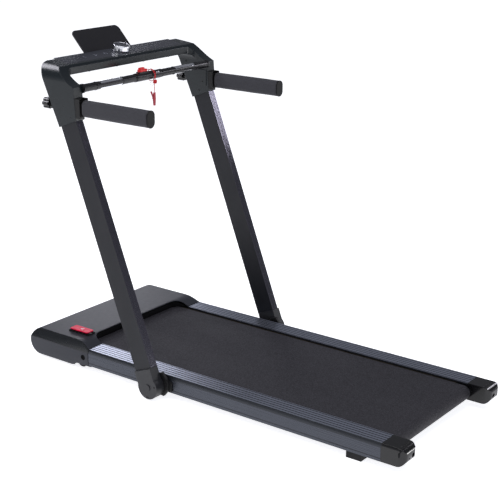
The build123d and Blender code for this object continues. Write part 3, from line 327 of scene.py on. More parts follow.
def add_bump(material, value, depth_mm):
    """Adds relief of a depth in mm on top of any that the material has."""
    tree = material.node_tree
    bump = tree.nodes.new("ShaderNodeBump")
    bump.inputs["Strength"].default_value = 1.0
    bump.inputs["Distance"].default_value = depth_mm * MM
    shader = tree.nodes["Principled BSDF"]
    if shader.inputs["Normal"].links:
        tree.links.new(shader.inputs["Normal"].links[0].from_socket, bump.inputs["Normal"])
    tree.links.new(value, bump.inputs["Height"])
    tree.links.new(bump.outputs["Normal"], shader.inputs["Normal"])


def shades(colour, amount):
    """A darker and a lighter shade of a colour, each by a share of it."""
    dark = tuple(c * (1 - amount) for c in colour)
    light = tuple(min(1.0, c * (1 + amount)) for c in colour)
    return dark, light


def moulded(name, colour, roughness, grain_mm, depth_mm, specular=0.5, blotch=0.1):
    """Moulded plastic: fine spark-eroded grain, slow changes of shade and faint rubbed places."""
    material = start_material(name, colour, roughness, specular=specular)
    slow = noise_field(material, even(9.0), detail=5.0)
    colour_between(material, spread(material, slow, 0.0, 1.0), *shades(colour, blotch))
    rubbed = noise_field(material, even(60.0), detail=6.0, roughness=0.7)
    dullest = min(1.0, roughness * 1.07)
    vary_roughness(material, spread(material, rubbed, roughness * 0.95, dullest))
    grain = noise_field(material, even(1.0 / (grain_mm * MM)), detail=2.0)
    add_bump(material, grain, depth_mm)
    return material


def powder_coat(name, colour, roughness, specular=0.5):
    """Textured paint on metal, with its orange peel and small flecks."""
    material = start_material(name, colour, roughness, specular=specular)
    flecks = noise_field(material, even(1600.0), detail=1.0)
    colour_between(material, spread(material, flecks, 0.0, 1.0, 0.4, 0.72), *shades(colour, 0.16))
    smudge = noise_field(material, (14.0, 14.0, 7.0), detail=6.0, roughness=0.65)
    dullest = min(1.0, roughness * 1.15)
    vary_roughness(material, spread(material, smudge, roughness * 0.85, dullest))
    add_bump(material, noise_field(material, even(700.0), detail=2.0), 0.04)
    return material


def brushed(name, colour, roughness, scale, depth_mm=0.02, metallic=1.0):
    """Metal with fine lines along the direction whose scale is smallest."""
    material = start_material(name, colour, roughness, metallic=metallic)
    lines = noise_field(material, scale, detail=4.0, roughness=0.6)
    colour_between(material, spread(material, lines, 0.0, 1.0), *shades(colour, 0.12))
    dullest = min(1.0, roughness * 1.3)
    vary_roughness(material, spread(material, lines, roughness * 0.8, dullest))
    add_bump(material, lines, depth_mm)
    return material


def polished(name, colour, roughness):
    """Plated metal with faint haze and hairline marks."""
    material = start_material(name, colour, roughness, metallic=1.0)
    haze = noise_field(material, even(45.0), detail=6.0, roughness=0.7)
    vary_roughness(material, spread(material, haze, roughness * 0.6, roughness * 1.7))
    colour_between(material, spread(material, haze, 0.0, 1.0), *shades(colour, 0.04))
    add_bump(material, noise_field(material, (900.0, 60.0, 900.0), detail=2.0), 0.0008)
    return material


def belt_material():
    """Rubbery walking belt: small cells, diagonal bands, flecks and a faint worn lane."""
    material = start_material("belt_top", (0.012, 0.012, 0.014), 0.7, specular=0.3)
    tree = material.node_tree
    fleck = noise_field(material, even(300.0), detail=4.0, roughness=0.75)
    dark = (0.0060, 0.0056, 0.0072)
    light = (0.0560, 0.0540, 0.0650)
    colour_between(material, spread(material, fleck, 0.0, 1.0, 0.36, 0.70), dark, light)
    weave = tree.nodes.new("ShaderNodeTexWave")
    weave.wave_type = "BANDS"
    weave.bands_direction = "DIAGONAL"
    weave.inputs["Scale"].default_value = 1.0
    weave.inputs["Distortion"].default_value = 1.5
    weave.inputs["Detail"].default_value = 2.0
    tree.links.new(texture_space(material, even(260.0)), weave.inputs["Vector"])
    cells = tree.nodes.new("ShaderNodeTexVoronoi")
    cells.inputs["Scale"].default_value = 1.0
    tree.links.new(texture_space(material, (520.0, 330.0, 520.0)), cells.inputs["Vector"])
    add_bump(material, cells.outputs["Distance"], 0.18)
    add_bump(material, weave.outputs["Fac"], 0.08)
    lane = noise_field(material, (5.0, 1.2, 5.0), detail=4.0)
    vary_roughness(material, spread(material, lane, 0.64, 0.80))
    return material


def foam_material():
    """Closed-cell foam: matte skin with open pores."""
    material = start_material("grip_foam", (0.024, 0.024, 0.029), 0.9, specular=0.22)
    tree = material.node_tree
    shader = tree.nodes["Principled BSDF"]
    shader.inputs["Sheen Weight"].default_value = 0.12
    shader.inputs["Sheen Roughness"].default_value = 0.6
    pores = tree.nodes.new("ShaderNodeTexVoronoi")
    pores.inputs["Scale"].default_value = 1.0
    tree.links.new(texture_space(material, even(620.0)), pores.inputs["Vector"])
    distance = pores.outputs["Distance"]
    dark = (0.016, 0.016, 0.020)
    light = (0.033, 0.033, 0.040)
    colour_between(material, spread(material, distance, 0.0, 1.0, 0.1, 0.6), dark, light)
    add_bump(material, distance, 0.16)
    add_bump(material, noise_field(material, (50.0, 25.0, 50.0), detail=4.0), 0.35)
    return material


def rope_material():
    """Twisted red thread with its fine fibres."""
    material = start_material("red_thread", (0.52, 0.012, 0.016), 0.62, specular=0.35)
    fibres = noise_field(material, (2600.0, 2600.0, 900.0), detail=3.0, roughness=0.7)
    dark = (0.34, 0.005, 0.008)
    light = (0.68, 0.030, 0.034)
    colour_between(material, spread(material, fibres, 0.0, 1.0), dark, light)
    add_bump(material, fibres, 0.12)
    return material


def board_material():
    """Laminated deck board with a phenolic face."""
    material = start_material("deck_laminate", (0.10, 0.065, 0.04), 0.5)
    grain = noise_field(material, (40.0, 3.0, 300.0), detail=6.0, roughness=0.65)
    dark = (0.012, 0.009, 0.007)
    light = (0.030, 0.022, 0.015)
    colour_between(material, spread(material, grain, 0.0, 1.0), dark, light)
    add_bump(material, grain, 0.05)
    return material


ALONG_RAIL = (1500.0, 3.0, 1500.0)

look = {
    "rail": brushed("rail_anodised", (0.052, 0.057, 0.071), 0.27, ALONG_RAIL, metallic=0.6),
    # painted highlight: a lighter, more reflective colour on the rail's ridge tops for the light
    # they catch
    "painted_ridge_highlight": brushed("rail_ridge_tops_painted_highlight", (0.30, 0.325, 0.40), 0.30, ALONG_RAIL, metallic=0.85),
    # painted shade: a darker colour on the rail's bevel for the shade and dark reflections it shows
    "painted_bevel_shade": brushed(
        "rail_bevel_painted_shade", (0.024, 0.027, 0.033), 0.25, ALONG_RAIL, metallic=0.5
    ),
    "ribs": brushed(
        "upright_ribs_anodised", (0.070, 0.067, 0.086), 0.13, (1500.0, 40.0, 4.0), 0.004, 0.7
    ),
    "spring": brushed("spring_black_oxide", (0.02, 0.02, 0.022), 0.4, even(900.0)),
    "steel": brushed("steel_zinc", (0.30, 0.30, 0.31), 0.34, (300.0, 900.0, 900.0)),
    "aluminium": brushed("aluminium_plain", (0.45, 0.46, 0.48), 0.36, (900.0, 6.0, 900.0)),
    "chrome": polished("chrome_plate", (0.74, 0.75, 0.79), 0.07),
    "upright": powder_coat("upright_paint_fine", (0.0082, 0.0088, 0.0125), 0.44, specular=0.26),
    "frame": powder_coat("frame_paint_black", (0.008, 0.008, 0.009), 0.45, specular=0.35),
    "motor": powder_coat("motor_paint_black", (0.012, 0.0125, 0.015), 0.35),
    "belt": belt_material(),
    "foam": foam_material(),
    "rope": rope_material(),
    "board": board_material(),
}

# key: (material name, colour, roughness, grain mm, relief mm, specular, blotch)
moulded_looks = {
    "plug": ("arm_plug_black", (0.0045, 0.0045, 0.005), 0.42, 0.6, 0.006, 0.14),
    # painted shade for holes, and the real black of the hood's joint strip and its screw caps
    "hole": ("hole_black", (0.0015, 0.0015, 0.0018), 0.8, 0.6, 0.01, 0.08),
    # painted shade: a darker colour in the gaps between the rail's ridges and in its side groove
    "groove": ("rail_groove_dark", (0.010, 0.010, 0.012), 0.5, 0.6, 0.01),
    # painted shade: a darker colour on the hood's bevelled shoulders for the shade and dark
    # reflections they show
    "hood_band": ("hood_band_satin", (0.008, 0.0095, 0.0115), 0.26, 0.6, 0.01, 0.35, 0.04),
    "shoe": ("shoe_cast", (0.014, 0.0145, 0.0175), 0.44, 1.0, 0.05, 0.42),
    "console": ("console_satin", (0.0050, 0.0085, 0.0110), 0.26, 0.5, 0.002, 0.36, 0.05),
    "panel": ("panel_film", (0.0150, 0.0170, 0.0260), 0.24, 0.4, 0.0008, 0.5, 0.05),
    "hood": ("hood_grained", (0.026, 0.028, 0.036), 0.46, 0.9, 0.05, 0.3, 0.04),
    "gloss": ("gloss_black_moulded", (0.004, 0.004, 0.0045), 0.14, 0.5, 0.0012, 0.45),
    "black": ("matte_black_moulded", (0.005, 0.005, 0.0055), 0.5, 0.8, 0.04, 0.3),
    "plate": ("plate_charcoal", (0.008, 0.0075, 0.0100), 0.52, 0.6, 0.03, 0.35),
    "sleeve": ("sleeve_satin", (0.006, 0.006, 0.0075), 0.26, 0.6, 0.002, 0.4),
    "rubber": ("rubber_black", (0.009, 0.009, 0.010), 0.72, 1.3, 0.08, 0.3),
    "pedal": ("pedal_red", (0.74, 0.006, 0.055), 0.42, 0.6, 0.01, 0.18, 0.05),
    "mark": ("pedal_mark_pale", (0.80, 0.50, 0.60), 0.4, 0.6, 0.01),
    "key": ("key_red", (0.60, 0.006, 0.010), 0.28, 0.6, 0.01, 0.4, 0.08),
    "clip": ("clip_red", (0.34, 0.005, 0.022), 0.30, 0.6, 0.01, 0.4, 0.08),
    "print": ("print_grey", (0.22, 0.23, 0.28), 0.5, 0.5, 0.005),
    "print_dark": ("print_slate", (0.030, 0.034, 0.046), 0.4, 0.5, 0.005),
    "dot": ("dot_white", (0.75, 0.76, 0.8), 0.35, 0.5, 0.005),
    "circuit": ("circuit_green", (0.010, 0.070, 0.030), 0.4, 2.0, 0.05),
}
for key, values in moulded_looks.items():
    look[key] = moulded(*values)

slot_look = {
    "rail_aluminium": "rail",
    "upright_paint": "upright",
    "frame_paint": "frame",
    "steel": "steel",
    "deck_board": "board",
    "belt_pvc": "belt",
    "rubber": "rubber",
    "hood_plastic": "hood",
    "console_plastic": "console",
    "gloss_black": "gloss",
    "panel_black": "panel",
    "foam": "foam",
    "chrome": "chrome",
    "red_plastic": "key",
    "red_cord": "rope",
    "motor_paint": "motor",
    "circuit": "circuit",
    "aluminium": "aluminium",
}
for node, slot in node_slot.items():
    materials = nodes[node].data.materials
    materials.clear()
    materials.append(look[slot_look[slot]])


# ---------------------------------------------------------------- safety cord, from key to clip

cord_points_mm = [
    (-5.6, 447.0, 984.5),
    (4.0, 446.0, 985.0),
    (12.0, 437.0, 983.0),
    (14.0, 428.5, 972.0),
    (14.5, 427.5, 959.0),
    (15.0, 436.0, 947.0),
    (16.0, 448.0, 943.5),
    (17.5, 461.0, 949.0),
    (18.5, 467.0, 961.0),
    (19.5, 463.0, 975.0),
    (20.5, 453.0, 983.5),
    (21.0, 441.0, 982.5),
    (20.5, 430.5, 974.0),
    (18.0, 427.0, 961.0),
    (15.0, 428.5, 948.0),
    (13.0, 429.5, 934.0),
    (13.5, 430.0, 920.0),
    (13.0, 430.0, 908.0),
]
cord_radius = 1.3 * MM


def smooth_route(points_mm):
    """Points along the NURBS line whose control points are the cord's route."""
    curve = bpy.data.curves.new("route", "CURVE")
    curve.dimensions = "3D"
    curve.resolution_u = 24
    spline = curve.splines.new("NURBS")
    spline.points.add(len(points_mm) - 1)
    for point, place in zip(spline.points, points_mm):
        point.co = (*[c * MM for c in place], 1.0)
    spline.order_u = 3
    spline.use_endpoint_u = True
    route = bpy.data.objects.new("route", curve)
    bpy.context.scene.collection.objects.link(route)
    bpy.context.view_layer.update()
    mesh = bpy.data.meshes.new_from_object(route)
    line = [v.co.copy() for v in mesh.vertices]
    bpy.data.objects.remove(route)
    bpy.data.meshes.remove(mesh)
    return line


def twisted_cord(line):
    """Two strands laid round each other along the line."""
    strand = cord_radius * 0.52
    turn_length = 5.0 * MM
    pairs = frames_along(line)
    travelled = [0.0]
    for before, after in zip(line, line[1:]):
        travelled.append(travelled[-1] + (after - before).length)
    strands = []
    for phase in (0.0, math.pi):
        path = []
        for point, (first, second), distance in zip(line, pairs, travelled):
            angle = phase + 2 * math.pi * distance / turn_length
            spoke = first * math.cos(angle) + second * math.sin(angle)
            path.append(point + spoke * (cord_radius - strand))
        strands.append(tube(path, strand, sides=8))
    return joined(strands)


cord_line = smooth_route(cord_points_mm)
strands = twisted_cord(cord_line)
safety_cord = add_piece("safety_cord_rope", *strands, "upper_frame", look["rope"], "red_cord", 60.0)
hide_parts("safety_cord")


def add_knot():
    """A fist of cord wound over itself, where the turns round the bar are tied."""
    low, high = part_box("cord_knot")
    centre = (low + high) / 2
    radius = (high.x - low.x) / 2
    strand = cord_radius * 1.25
    reach = radius - strand
    turns = 3
    lobes = 5
    steps = 260
    path = []
    for step in range(steps + 1):
        t = 2 * math.pi * step / steps
        swing = reach * (0.62 + 0.38 * math.cos(lobes * t))
        rise = reach * 0.9 * math.sin(lobes * t)
        place = (swing * math.cos(turns * t), swing * math.sin(turns * t), rise)
        path.append(centre + Vector(place))
    core_radius = radius * 0.72 / MM
    rings = 12
    core = []
    for ring in range(1, rings):
        polar = math.pi * ring / rings
        core.append((core_radius * math.sin(polar), core_radius * math.cos(polar)))
    shape = joined([tube(path, strand, sides=8), lathe(core, centre, (0, 0, 1), 24)])
    knot = add_piece("cord_knot_wound", *shape, "upper_frame", look["rope"], "red_cord", 60.0)
    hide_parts("cord_knot")
    return knot


knot = add_knot()
split_ring = rounded_copy("split_ring", 0.0, look["chrome"], smooth_angle=80.0)
clip_body = rounded_copy("cord_clip", 0.35, look["clip"])
clip_jaw = rounded_copy("clip_jaw", 0.35, look["clip"])


# ---------------------------------------------------------------- deck


def add_cap_ribs():
    """Fine ribs that run over each rear cap's rounded top corner."""
    low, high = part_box("rear_caps")
    shape = bmesh.new()
    shape.from_mesh(nodes["rear_caps"].data)
    tree = BVHTree.FromBMesh(shape)
    shape.free()
    corner = 26.0 * MM
    clear_of_cap = 80.0 * MM
    sunk = 0.25 * MM
    first = 236.0
    pitch = 8.4
    count = 8

    def thickness(share):
        """Full along the middle and thin at both ends."""
        return 1.0 * MM * min(1.0, 0.15 + 6 * min(share, 1 - share))

    ribs = []
    for index in range(count):
        middle = Vector(((first + index * pitch) * MM, low.y + corner, high.z - corner))
        path = []
        for degrees in range(84, 162, 3):
            angle = math.radians(degrees)
            out = Vector((0.0, math.cos(angle), math.sin(angle)))
            hit = tree.ray_cast(middle + out * clear_of_cap, -out)[0]
            if hit is not None:
                path.append(hit - out * sunk)
        ribs.append(tube(path, thickness, sides=8))
    both = ribs + [mirrored(rib) for rib in ribs]
    add_piece("rear_cap_ribs", *joined(both), "deck", look["gloss"], "gloss_black", 70.0)


def add_opening_lip():
    """Black curtain that closes the hood's arch down to the walking belt."""
    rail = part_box("side_rails")
    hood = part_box("hood_cover")
    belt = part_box("walking_belt")
    reach = hood[0].y + 51.0 * MM
    half = 229.0 * MM
    corner = 42.0 * MM
    thickness = 1.6 * MM
    low = belt[1].z + 1.2 * MM
    roll = 62.0 * MM
    start_y = hood[0].y + 6.0 * MM
    straight_steps = 8
    corner_steps = 12
    path = []
    for step in range(straight_steps + 1):
        path.append((-half, start_y + (reach - corner - start_y) * step / straight_steps))
    for step in range(1, corner_steps + 1):
        angle = math.pi - math.pi / 2 * step / corner_steps
        x = -half + corner + corner * math.cos(angle)
        path.append((x, reach - corner + corner * math.sin(angle)))
    path += [(-x, y) for x, y in reversed(path)]
    sections = []
    for index, (x, y) in enumerate(path):
        before = path[max(index - 1, 0)]
        after = path[min(index + 1, len(path) - 1)]
        along = Vector((after[0] - before[0], after[1] - before[1], 0.0)).normalized()
        inward = Vector((along.y, -along.x, 0.0))
        rise = min(1.0, max(0.0, (y - hood[0].y) / roll))
        eased = rise * rise * (3 - 2 * rise)
        top = rail[1].z + (hood[1].z - rail[1].z) * eased - 2.5 * MM
        inner = Vector((x, y, 0.0)) + inward * 0.4 * MM
        outer = inner - inward * thickness
        ring = []
        for side, z in ((inner, low), (inner, top), (outer, top), (outer, low)):
            ring.append(Vector((side.x, side.y, z)))
        sections.append(ring)
    add_piece("hood_arch_curtain", *swept(sections), "deck", look["gloss"], "gloss_black")


def finish_rails():
    """Side rails: the ridge tops painted lighter as highlight, and the gaps between the ridges, the
    side groove and the bevel painted darker as shade.
    """
    mesh = rounded_copy("side_rails", 0.4, look["rail"]).data
    for finish in ("groove", "painted_ridge_highlight", "painted_bevel_shade"):
        mesh.materials.append(look[finish])
    groove, painted_ridge_highlight, painted_bevel_shade = 1, 2, 3
    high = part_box("side_rails")[1]
    shoulder_width = 8.0 * MM
    skin = 0.3 * MM
    gap_depth = 1.6 * MM
    side_groove_depth = 2.0 * MM
    side_groove_low = 31.5 * MM
    side_groove_high = 34.5 * MM
    for face in mesh.polygons:
        inward = high.x - abs(face.center.x)
        down = high.z - face.center.z
        on_ridges = inward > shoulder_width
        in_side_groove = (
            skin < inward < side_groove_depth
            and side_groove_low < face.center.z < side_groove_high
        )
        # painted shade in the gaps and the side groove, painted highlight on the ridge tops,
        # painted shade on the bevel
        if (on_ridges and skin < down < gap_depth) or in_side_groove:
            face.material_index = groove
        elif on_ridges and face.normal.z > 0.8 and down < skin:
            face.material_index = painted_ridge_highlight
        elif abs(face.normal.x) > 0.8 and face.normal.z > 0.3:
            face.material_index = painted_bevel_shade


def finish_hood():
    """Motor hood with a smoother band along its bevelled shoulders, painted darker as shade."""
    mesh = rounded_copy("hood_cover", 1.2, look["hood"]).data
    mesh.materials.append(look["hood_band"])
    band_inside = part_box("hood_cover")[1].x - 18.0 * MM
    band_bottom = 66.0 * MM
    # painted shade: the faces of the side bevel get the darker colour
    for face in mesh.polygons:
        along_side = abs(face.center.x) > band_inside and face.center.z > band_bottom
        if along_side and abs(face.normal.x) > 0.55 and face.normal.z > 0.2:
            face.material_index = 1


def rounded_box_ring(centre_x, centre_y, half_x, half_y, corner, z):
    """Level ring of points round a rectangle with rounded corners, in metres."""
    ring = []
    corner_steps = 8
    for quarter, (sx, sy) in enumerate(((1, 1), (-1, 1), (-1, -1), (1, -1))):
        for step in range(corner_steps + 1):
            angle = math.pi / 2 * (quarter + step / corner_steps)
            x = centre_x + sx * (half_x - corner) + corner * math.cos(angle)
            y = centre_y + sy * (half_y - corner) + corner * math.sin(angle)
            ring.append(Vector((x, y, z)))
    return ring


def add_pedal():
    """Red pedal with rounded corners and a slightly dished top, and its pale triangle."""
    low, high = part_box("release_pedal")
    middle = (low + high) / 2
    half_x = (high.x - low.x) / 2
    half_y = (high.y - low.y) / 2
    top = high.z - 0.5 * MM
    under = high.z - 4.1 * MM
    sections = []
    for inset, z in (
        (1.6, under),
        (0.2, under + 0.4 * MM),
        (0.0, under + 0.9 * MM),
        (0.0, top - 1.2 * MM),
        (0.3, top - 0.5 * MM),
        (0.9, top - 0.1 * MM),
        (1.8, top),
        (5.0, top - 0.25 * MM),
        (10.0, top - 0.4 * MM),
    ):
        corner = max(1.0, 6.5 - inset) * MM
        halves = (half_x - inset * MM, half_y - inset * MM)
        sections.append(rounded_box_ring(middle.x, middle.y, *halves, corner, z))
    pivot = Vector((middle.x, 601.0 * MM, 104.5 * MM))
    boss = lathe([(2.9, -13.0), (3.0, -12.9), (3.0, 12.9), (2.9, 13.0)], pivot, (1, 0, 0), 32)
    shape = joined([swept(sections), boss])
    pedal = add_piece("release_pedal_top", *shape, "pedal", look["pedal"], "red_plastic", 35.0)
    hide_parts("release_pedal")
    triangle = [(-7.0, -7.5), (7.0, -7.5), (0.0, 6.5)]
    rings = []
    for z in (top - 0.6 * MM, high.z - 0.1 * MM):
        rings.append([Vector((middle.x + x * MM, middle.y + y * MM, z)) for x, y in triangle])
    add_piece("release_pedal_mark", *swept(rings), "pedal", look["mark"], "red_plastic")


def add_pedal_spring():
    """Coil under the pedal."""
    low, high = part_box("pedal_spring")
    middle = (low + high) / 2
    wire = 0.5 * MM
    coil = (high.x - low.x) / 2 - wire
    turns = 3.5
    steps = 150
    path = []
    for step in range(steps + 1):
        share = step / steps
        angle = 2 * math.pi * turns * share
        z = low.z + wire + (high.z - low.z - 2 * wire) * share
        x = middle.x + coil * math.cos(angle)
        path.append(Vector((x, middle.y + coil * math.sin(angle), z)))
    shape = tube(path, wire, sides=8)
    spring = add_piece("pedal_coil", *shape, "deck", look["spring"], "steel", 60.0)
    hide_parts("pedal_spring")
    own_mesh(spring)


def add_hood_seam():
    """Black joint strip round the rails where the hood meets them, and its side screws' caps."""
    rail_low, rail_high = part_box("side_rails")
    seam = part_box("hood_cover")[0].y
    out = rail_high.x
    top = rail_high.z
    proud = 0.25 * MM
    sunk = 1.2 * MM
    half_width = 1.1
    inside = 231.0 * MM
    shoulder_bottom = 67.0 * MM
    outline = [
        (inside, top),
        (out - 6.2 * MM, top),
        (out, shoulder_bottom),
        (out, rail_low.z + 1.0 * MM),
    ]
    normals = [(0.0, 1.0), (0.38, 0.92), (0.93, 0.36), (1.0, 0.0)]
    sections = []
    for (x, z), (nx, nz) in zip(outline, normals):
        outer = (x + nx * proud, z + nz * proud)
        inner = (x - nx * sunk, z - nz * sunk)
        ring = []
        for (px, pz), way in ((inner, -1), (outer, -1), (outer, 1), (inner, 1)):
            ring.append(Vector((px, seam + way * half_width * MM, pz)))
        sections.append(ring)
    strip = swept(sections)
    cap_profile = [(9.5, -0.6), (9.5, 0.15), (8.9, 0.35), (7.6, 0.35), (7.2, 0.1), (0.1, 0.1)]
    cap = lathe(cap_profile, Vector((out, seam + 24.0 * MM, 0.047)), (1, 0, 0), 48)
    parts = [strip, cap, mirrored(strip), mirrored(cap)]
    add_piece("hood_seam", *joined(parts), "deck", look["hole"], "gloss_black")


finish_rails()
finish_hood()
add_pedal()
add_hood_seam()
add_pedal_spring()
for node, radius, finish in (
    ("rear_caps", 0.9, "gloss"),
    ("hinge_brackets", 0.8, "black"),
    ("hinge_pins", 0.6, "shoe"),
    ("hinge_shoes", 0.9, "shoe"),
    ("rubber_feet", 1.2, "rubber"),
    ("left_transport_wheel", 0.8, "rubber"),
    ("right_transport_wheel", 0.8, "rubber"),
    ("pedal_base", 0.5, "black"),
    ("belly_pan", 0.6, "black"),
    ("power_inlet", 0.4, "black"),
    ("switch_bezel", 0.4, "black"),
    ("power_switch", 0.5, "key"),
    ("frame_cross_tubes", 0.8, "frame"),
    ("frame_side_tubes", 0.8, "frame"),
):
    rounded_copy(node, radius, look[finish])
add_cap_ribs()
add_opening_lip()


# ---------------------------------------------------------------- uprights and console


def finish_uprights():
    """The tubes, with bare ribbed metal on their rear faces."""
    mesh = rounded_copy("uprights", 0.4, look["upright"]).data
    mesh.materials.append(look["ribs"])
    rearward = Vector((0.0, -math.cos(LEAN), math.sin(LEAN)))
    for face in mesh.polygons:
        if face.normal.dot(rearward) > 0.6:
            face.material_index = 1


def add_grip(side):
    """Foam sleeve: a soft oval tube that is fuller in the middle and rolls in at its ends."""
    low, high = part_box(side + "_arm_grip")
    centre = (low + high) / 2
    half_width = (high.x - low.x) / 2
    half_height = (high.z - low.z) / 2
    straight = half_height - half_width
    inner_wall = 5.0 * MM
    roll = 3.5 * MM
    slack = 0.4 * MM
    dent_depth = 0.35 * MM
    around = 72
    along = 64
    roll_steps = 6
    length = high.y - low.y

    def ring(y, shrink, lumps):
        points = []
        for step in range(around):
            angle = 2 * math.pi * step / around
            radius = half_width - shrink
            x = radius * math.cos(angle)
            z = radius * math.sin(angle) + (straight if math.sin(angle) >= 0 else -straight)
            place = Vector((centre.x + x, y, centre.z + z))
            dent = noise.noise(Vector((place.x * 70, place.y * 28, place.z * 70))) * dent_depth
            spoke = Vector((x, 0.0, z)).normalized()
            points.append(place + spoke * dent * lumps)
        return points

    quarter = [math.pi / 2 * step / roll_steps for step in range(roll_steps + 1)]
    sections = [ring(low.y, inner_wall, 0.0)]
    for angle in quarter:
        y = low.y + roll * (1 - math.cos(angle))
        sections.append(ring(y, roll * (1 - math.sin(angle)) + slack, 0.3))
    for step in range(1, along):
        share = step / along
        crown = slack * (1 - math.sin(math.pi * share))
        sections.append(ring(low.y + roll + (length - 2 * roll) * share, crown, 1.0))
    for angle in quarter:
        y = high.y - roll * (1 - math.sin(angle))
        sections.append(ring(y, roll * (1 - math.cos(angle)) + slack, 0.3))
    sections.append(ring(high.y, inner_wall, 0.0))
    verts, faces = swept(sections, closed_ends=False)
    last = (len(sections) - 1) * around
    for index in range(around):
        after = (index + 1) % around
        faces.append((last + index, last + after, after, index))
    name = side + "_foam_grip"
    grip = add_piece(name, verts, faces, side + "_arm", look["foam"], "foam", 75.0)
    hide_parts(side + "_arm_grip")


slope = math.atan2(16.0, 87.0)
panel_up = Vector((0.0, -math.sin(slope), math.cos(slope)))
panel_across = Vector((0.0, math.cos(slope), math.sin(slope)))
panel_mid = Vector((0.0, 563.5 * MM, 1035.0 * MM))


def on_panel(x, across, lift=0.0):
    """A point on the console's top from millimetres along and across it."""
    level = panel_mid + Vector((x * MM, 0, 0)) + panel_across * (across * MM)
    return level + panel_up * (lift * MM)


def panel_stroke(points, width, closed=False):
    """The parts of a flat printed line about a tenth of a millimetre thick."""
    parts = []
    count = len(points)
    for index in range(count if closed else count - 1):
        start = Vector(points[index])
        end = Vector(points[(index + 1) % count])
        along = (end - start).normalized()
        side = Vector((-along.y, along.x)) * width / 2
        cap = along * width / 2
        corners = [
            start - cap - side,
            end + cap - side,
            end + cap + side,
            start - cap + side,
        ]
        bottom = [on_panel(c.x, c.y, 0.02) for c in corners]
        top = [on_panel(c.x, c.y, 0.14) for c in corners]
        parts.append(swept([bottom, top]))
    return parts


def circle_points(x, across, radius, start=0.0, end=360.0, steps=28):
    """Points in mm along an arc, from one angle in degrees to another."""
    points = []
    for step in range(steps + 1):
        angle = math.radians(start + (end - start) * step / steps)
        points.append((x + radius * math.cos(angle), across + radius * math.sin(angle)))
    return points


def add_shoe_marks():
    """Painted shade for the square socket and drain slot on the outer face of each hinge shoe: thin
    dark blocks stand where the holes are.
    """
    outside = 352.0 * MM
    marks = []
    socket = (134.0, 52.0, 5.0, 5.0)
    slot = (163.0, 12.0, 10.0, 2.2)
    for y, z, wide, tall in (socket, slot):
        low = []
        high = []
        for across, up in ((-1, -1), (1, -1), (1, 1), (-1, 1)):
            place = ((y + across * wide / 2) * MM, (z + up * tall / 2) * MM)
            low.append(Vector((outside - 0.4 * MM, *place)))
            high.append(Vector((outside + 0.12 * MM, *place)))
        marks.append(swept([low, high]))
    marks += [mirrored(part) for part in marks]
    # painted shade: dark blocks in place of the socket's and the slot's hollows
    add_piece("shoe_sockets", *joined(marks), "upper_frame", look["hole"], "gloss_black")


def add_panel_print():
    """Generic touch symbols and the outlines of the display windows."""
    symbols = panel_stroke(circle_points(-172.0, 0.0, 6.0, 120.0, 420.0), 1.1)
    symbols += panel_stroke([(-172.0, 2.0), (-172.0, 8.0)], 1.1)
    symbols += panel_stroke([(-126.0, -6.0), (-116.0, 0.0), (-126.0, 6.0)], 1.2, closed=True)
    square = [(-79.0, -5.0), (-69.0, -5.0), (-69.0, 5.0), (-79.0, 5.0)]
    symbols += panel_stroke(square, 1.2, closed=True)
    symbols += panel_stroke([(70.0, 0.0), (80.0, 0.0)], 1.3)
    symbols += panel_stroke([(117.0, 0.0), (127.0, 0.0)], 1.3)
    symbols += panel_stroke([(122.0, -5.0), (122.0, 5.0)], 1.3)
    add_piece("panel_symbols", *joined(symbols), "upper_frame", look["print"], "panel_black")
    windows = []
    for low, high in ((-262.0, -198.0), (158.0, 262.0)):
        box = [(low, -24.0), (high, -24.0), (high, 24.0), (low, 24.0)]
        windows += panel_stroke(box, 0.9, closed=True)
    windows += panel_stroke([(-262.0, 0.0), (-198.0, 0.0)], 0.7)
    windows += panel_stroke(circle_points(0.0, 0.0, 33.0, steps=72), 0.8)
    add_piece("panel_windows", *joined(windows), "upper_frame", look["print_dark"], "panel_black")


def add_speed_knob():
    """Chromed ring with shallow finger flutes round a flat grey cap."""
    low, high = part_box("speed_knob")
    radius = (high.x - low.x) / 2 / MM
    height = 22.0
    flutes = 24
    flute_depth = 0.45
    around = flutes * 8
    profile = [
        (radius - 3.0, 0.4, 0.0),
        (radius - 0.8, 0.5, 0.0),
        (radius, 1.6, 0.6),
        (radius, 6.0, 1.0),
        (radius - 0.2, 12.0, 1.0),
        (radius - 0.5, height - 3.0, 1.0),
        (radius - 0.9, height - 1.2, 0.5),
        (radius - 2.0, height - 0.2, 0.0),
        (radius - 3.2, height, 0.0),
        (radius - 4.4, height - 0.5, 0.0),
        (radius - 4.8, height - 1.6, 0.0),
    ]
    sections = []
    for size, lift, flute in profile:
        ring = []
        for step in range(around):
            angle = 2 * math.pi * step / around
            cut = flute_depth * flute * (0.5 + 0.5 * math.cos(flutes * angle)) ** 2
            reach = size - cut
            ring.append(on_panel(reach * math.cos(angle), reach * math.sin(angle), lift))
        sections.append(ring)
    body = add_piece("speed_knob_ring", *swept(sections), "knob", look["chrome"], "chrome", 50.0)
    cap = [
        (radius - 5.0, height - 1.7),
        (radius - 5.0, height - 0.9),
        (radius - 5.6, height - 0.5),
        (radius - 12.0, height - 0.75),
        (2.0, height - 1.0),
        (0.2, height - 1.0),
    ]
    turned = lathe(cap, panel_mid, panel_up, 72)
    add_piece("speed_knob_cap", *turned, "knob", look["hood"], "panel_black", 30.0)
    pointer = ((-0.9, 10.0, 0.0), (0.9, 10.0, 0.0), (0.9, 19.0, 0.2), (-0.9, 19.0, 0.2))
    rings = []
    for lift in (height - 0.9, height - 0.6):
        rings.append([on_panel(x, across, lift + rise) for x, across, rise in pointer])
    add_piece("speed_knob_mark", *swept(rings), "knob", look["print"], "panel_black")
    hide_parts("speed_knob")


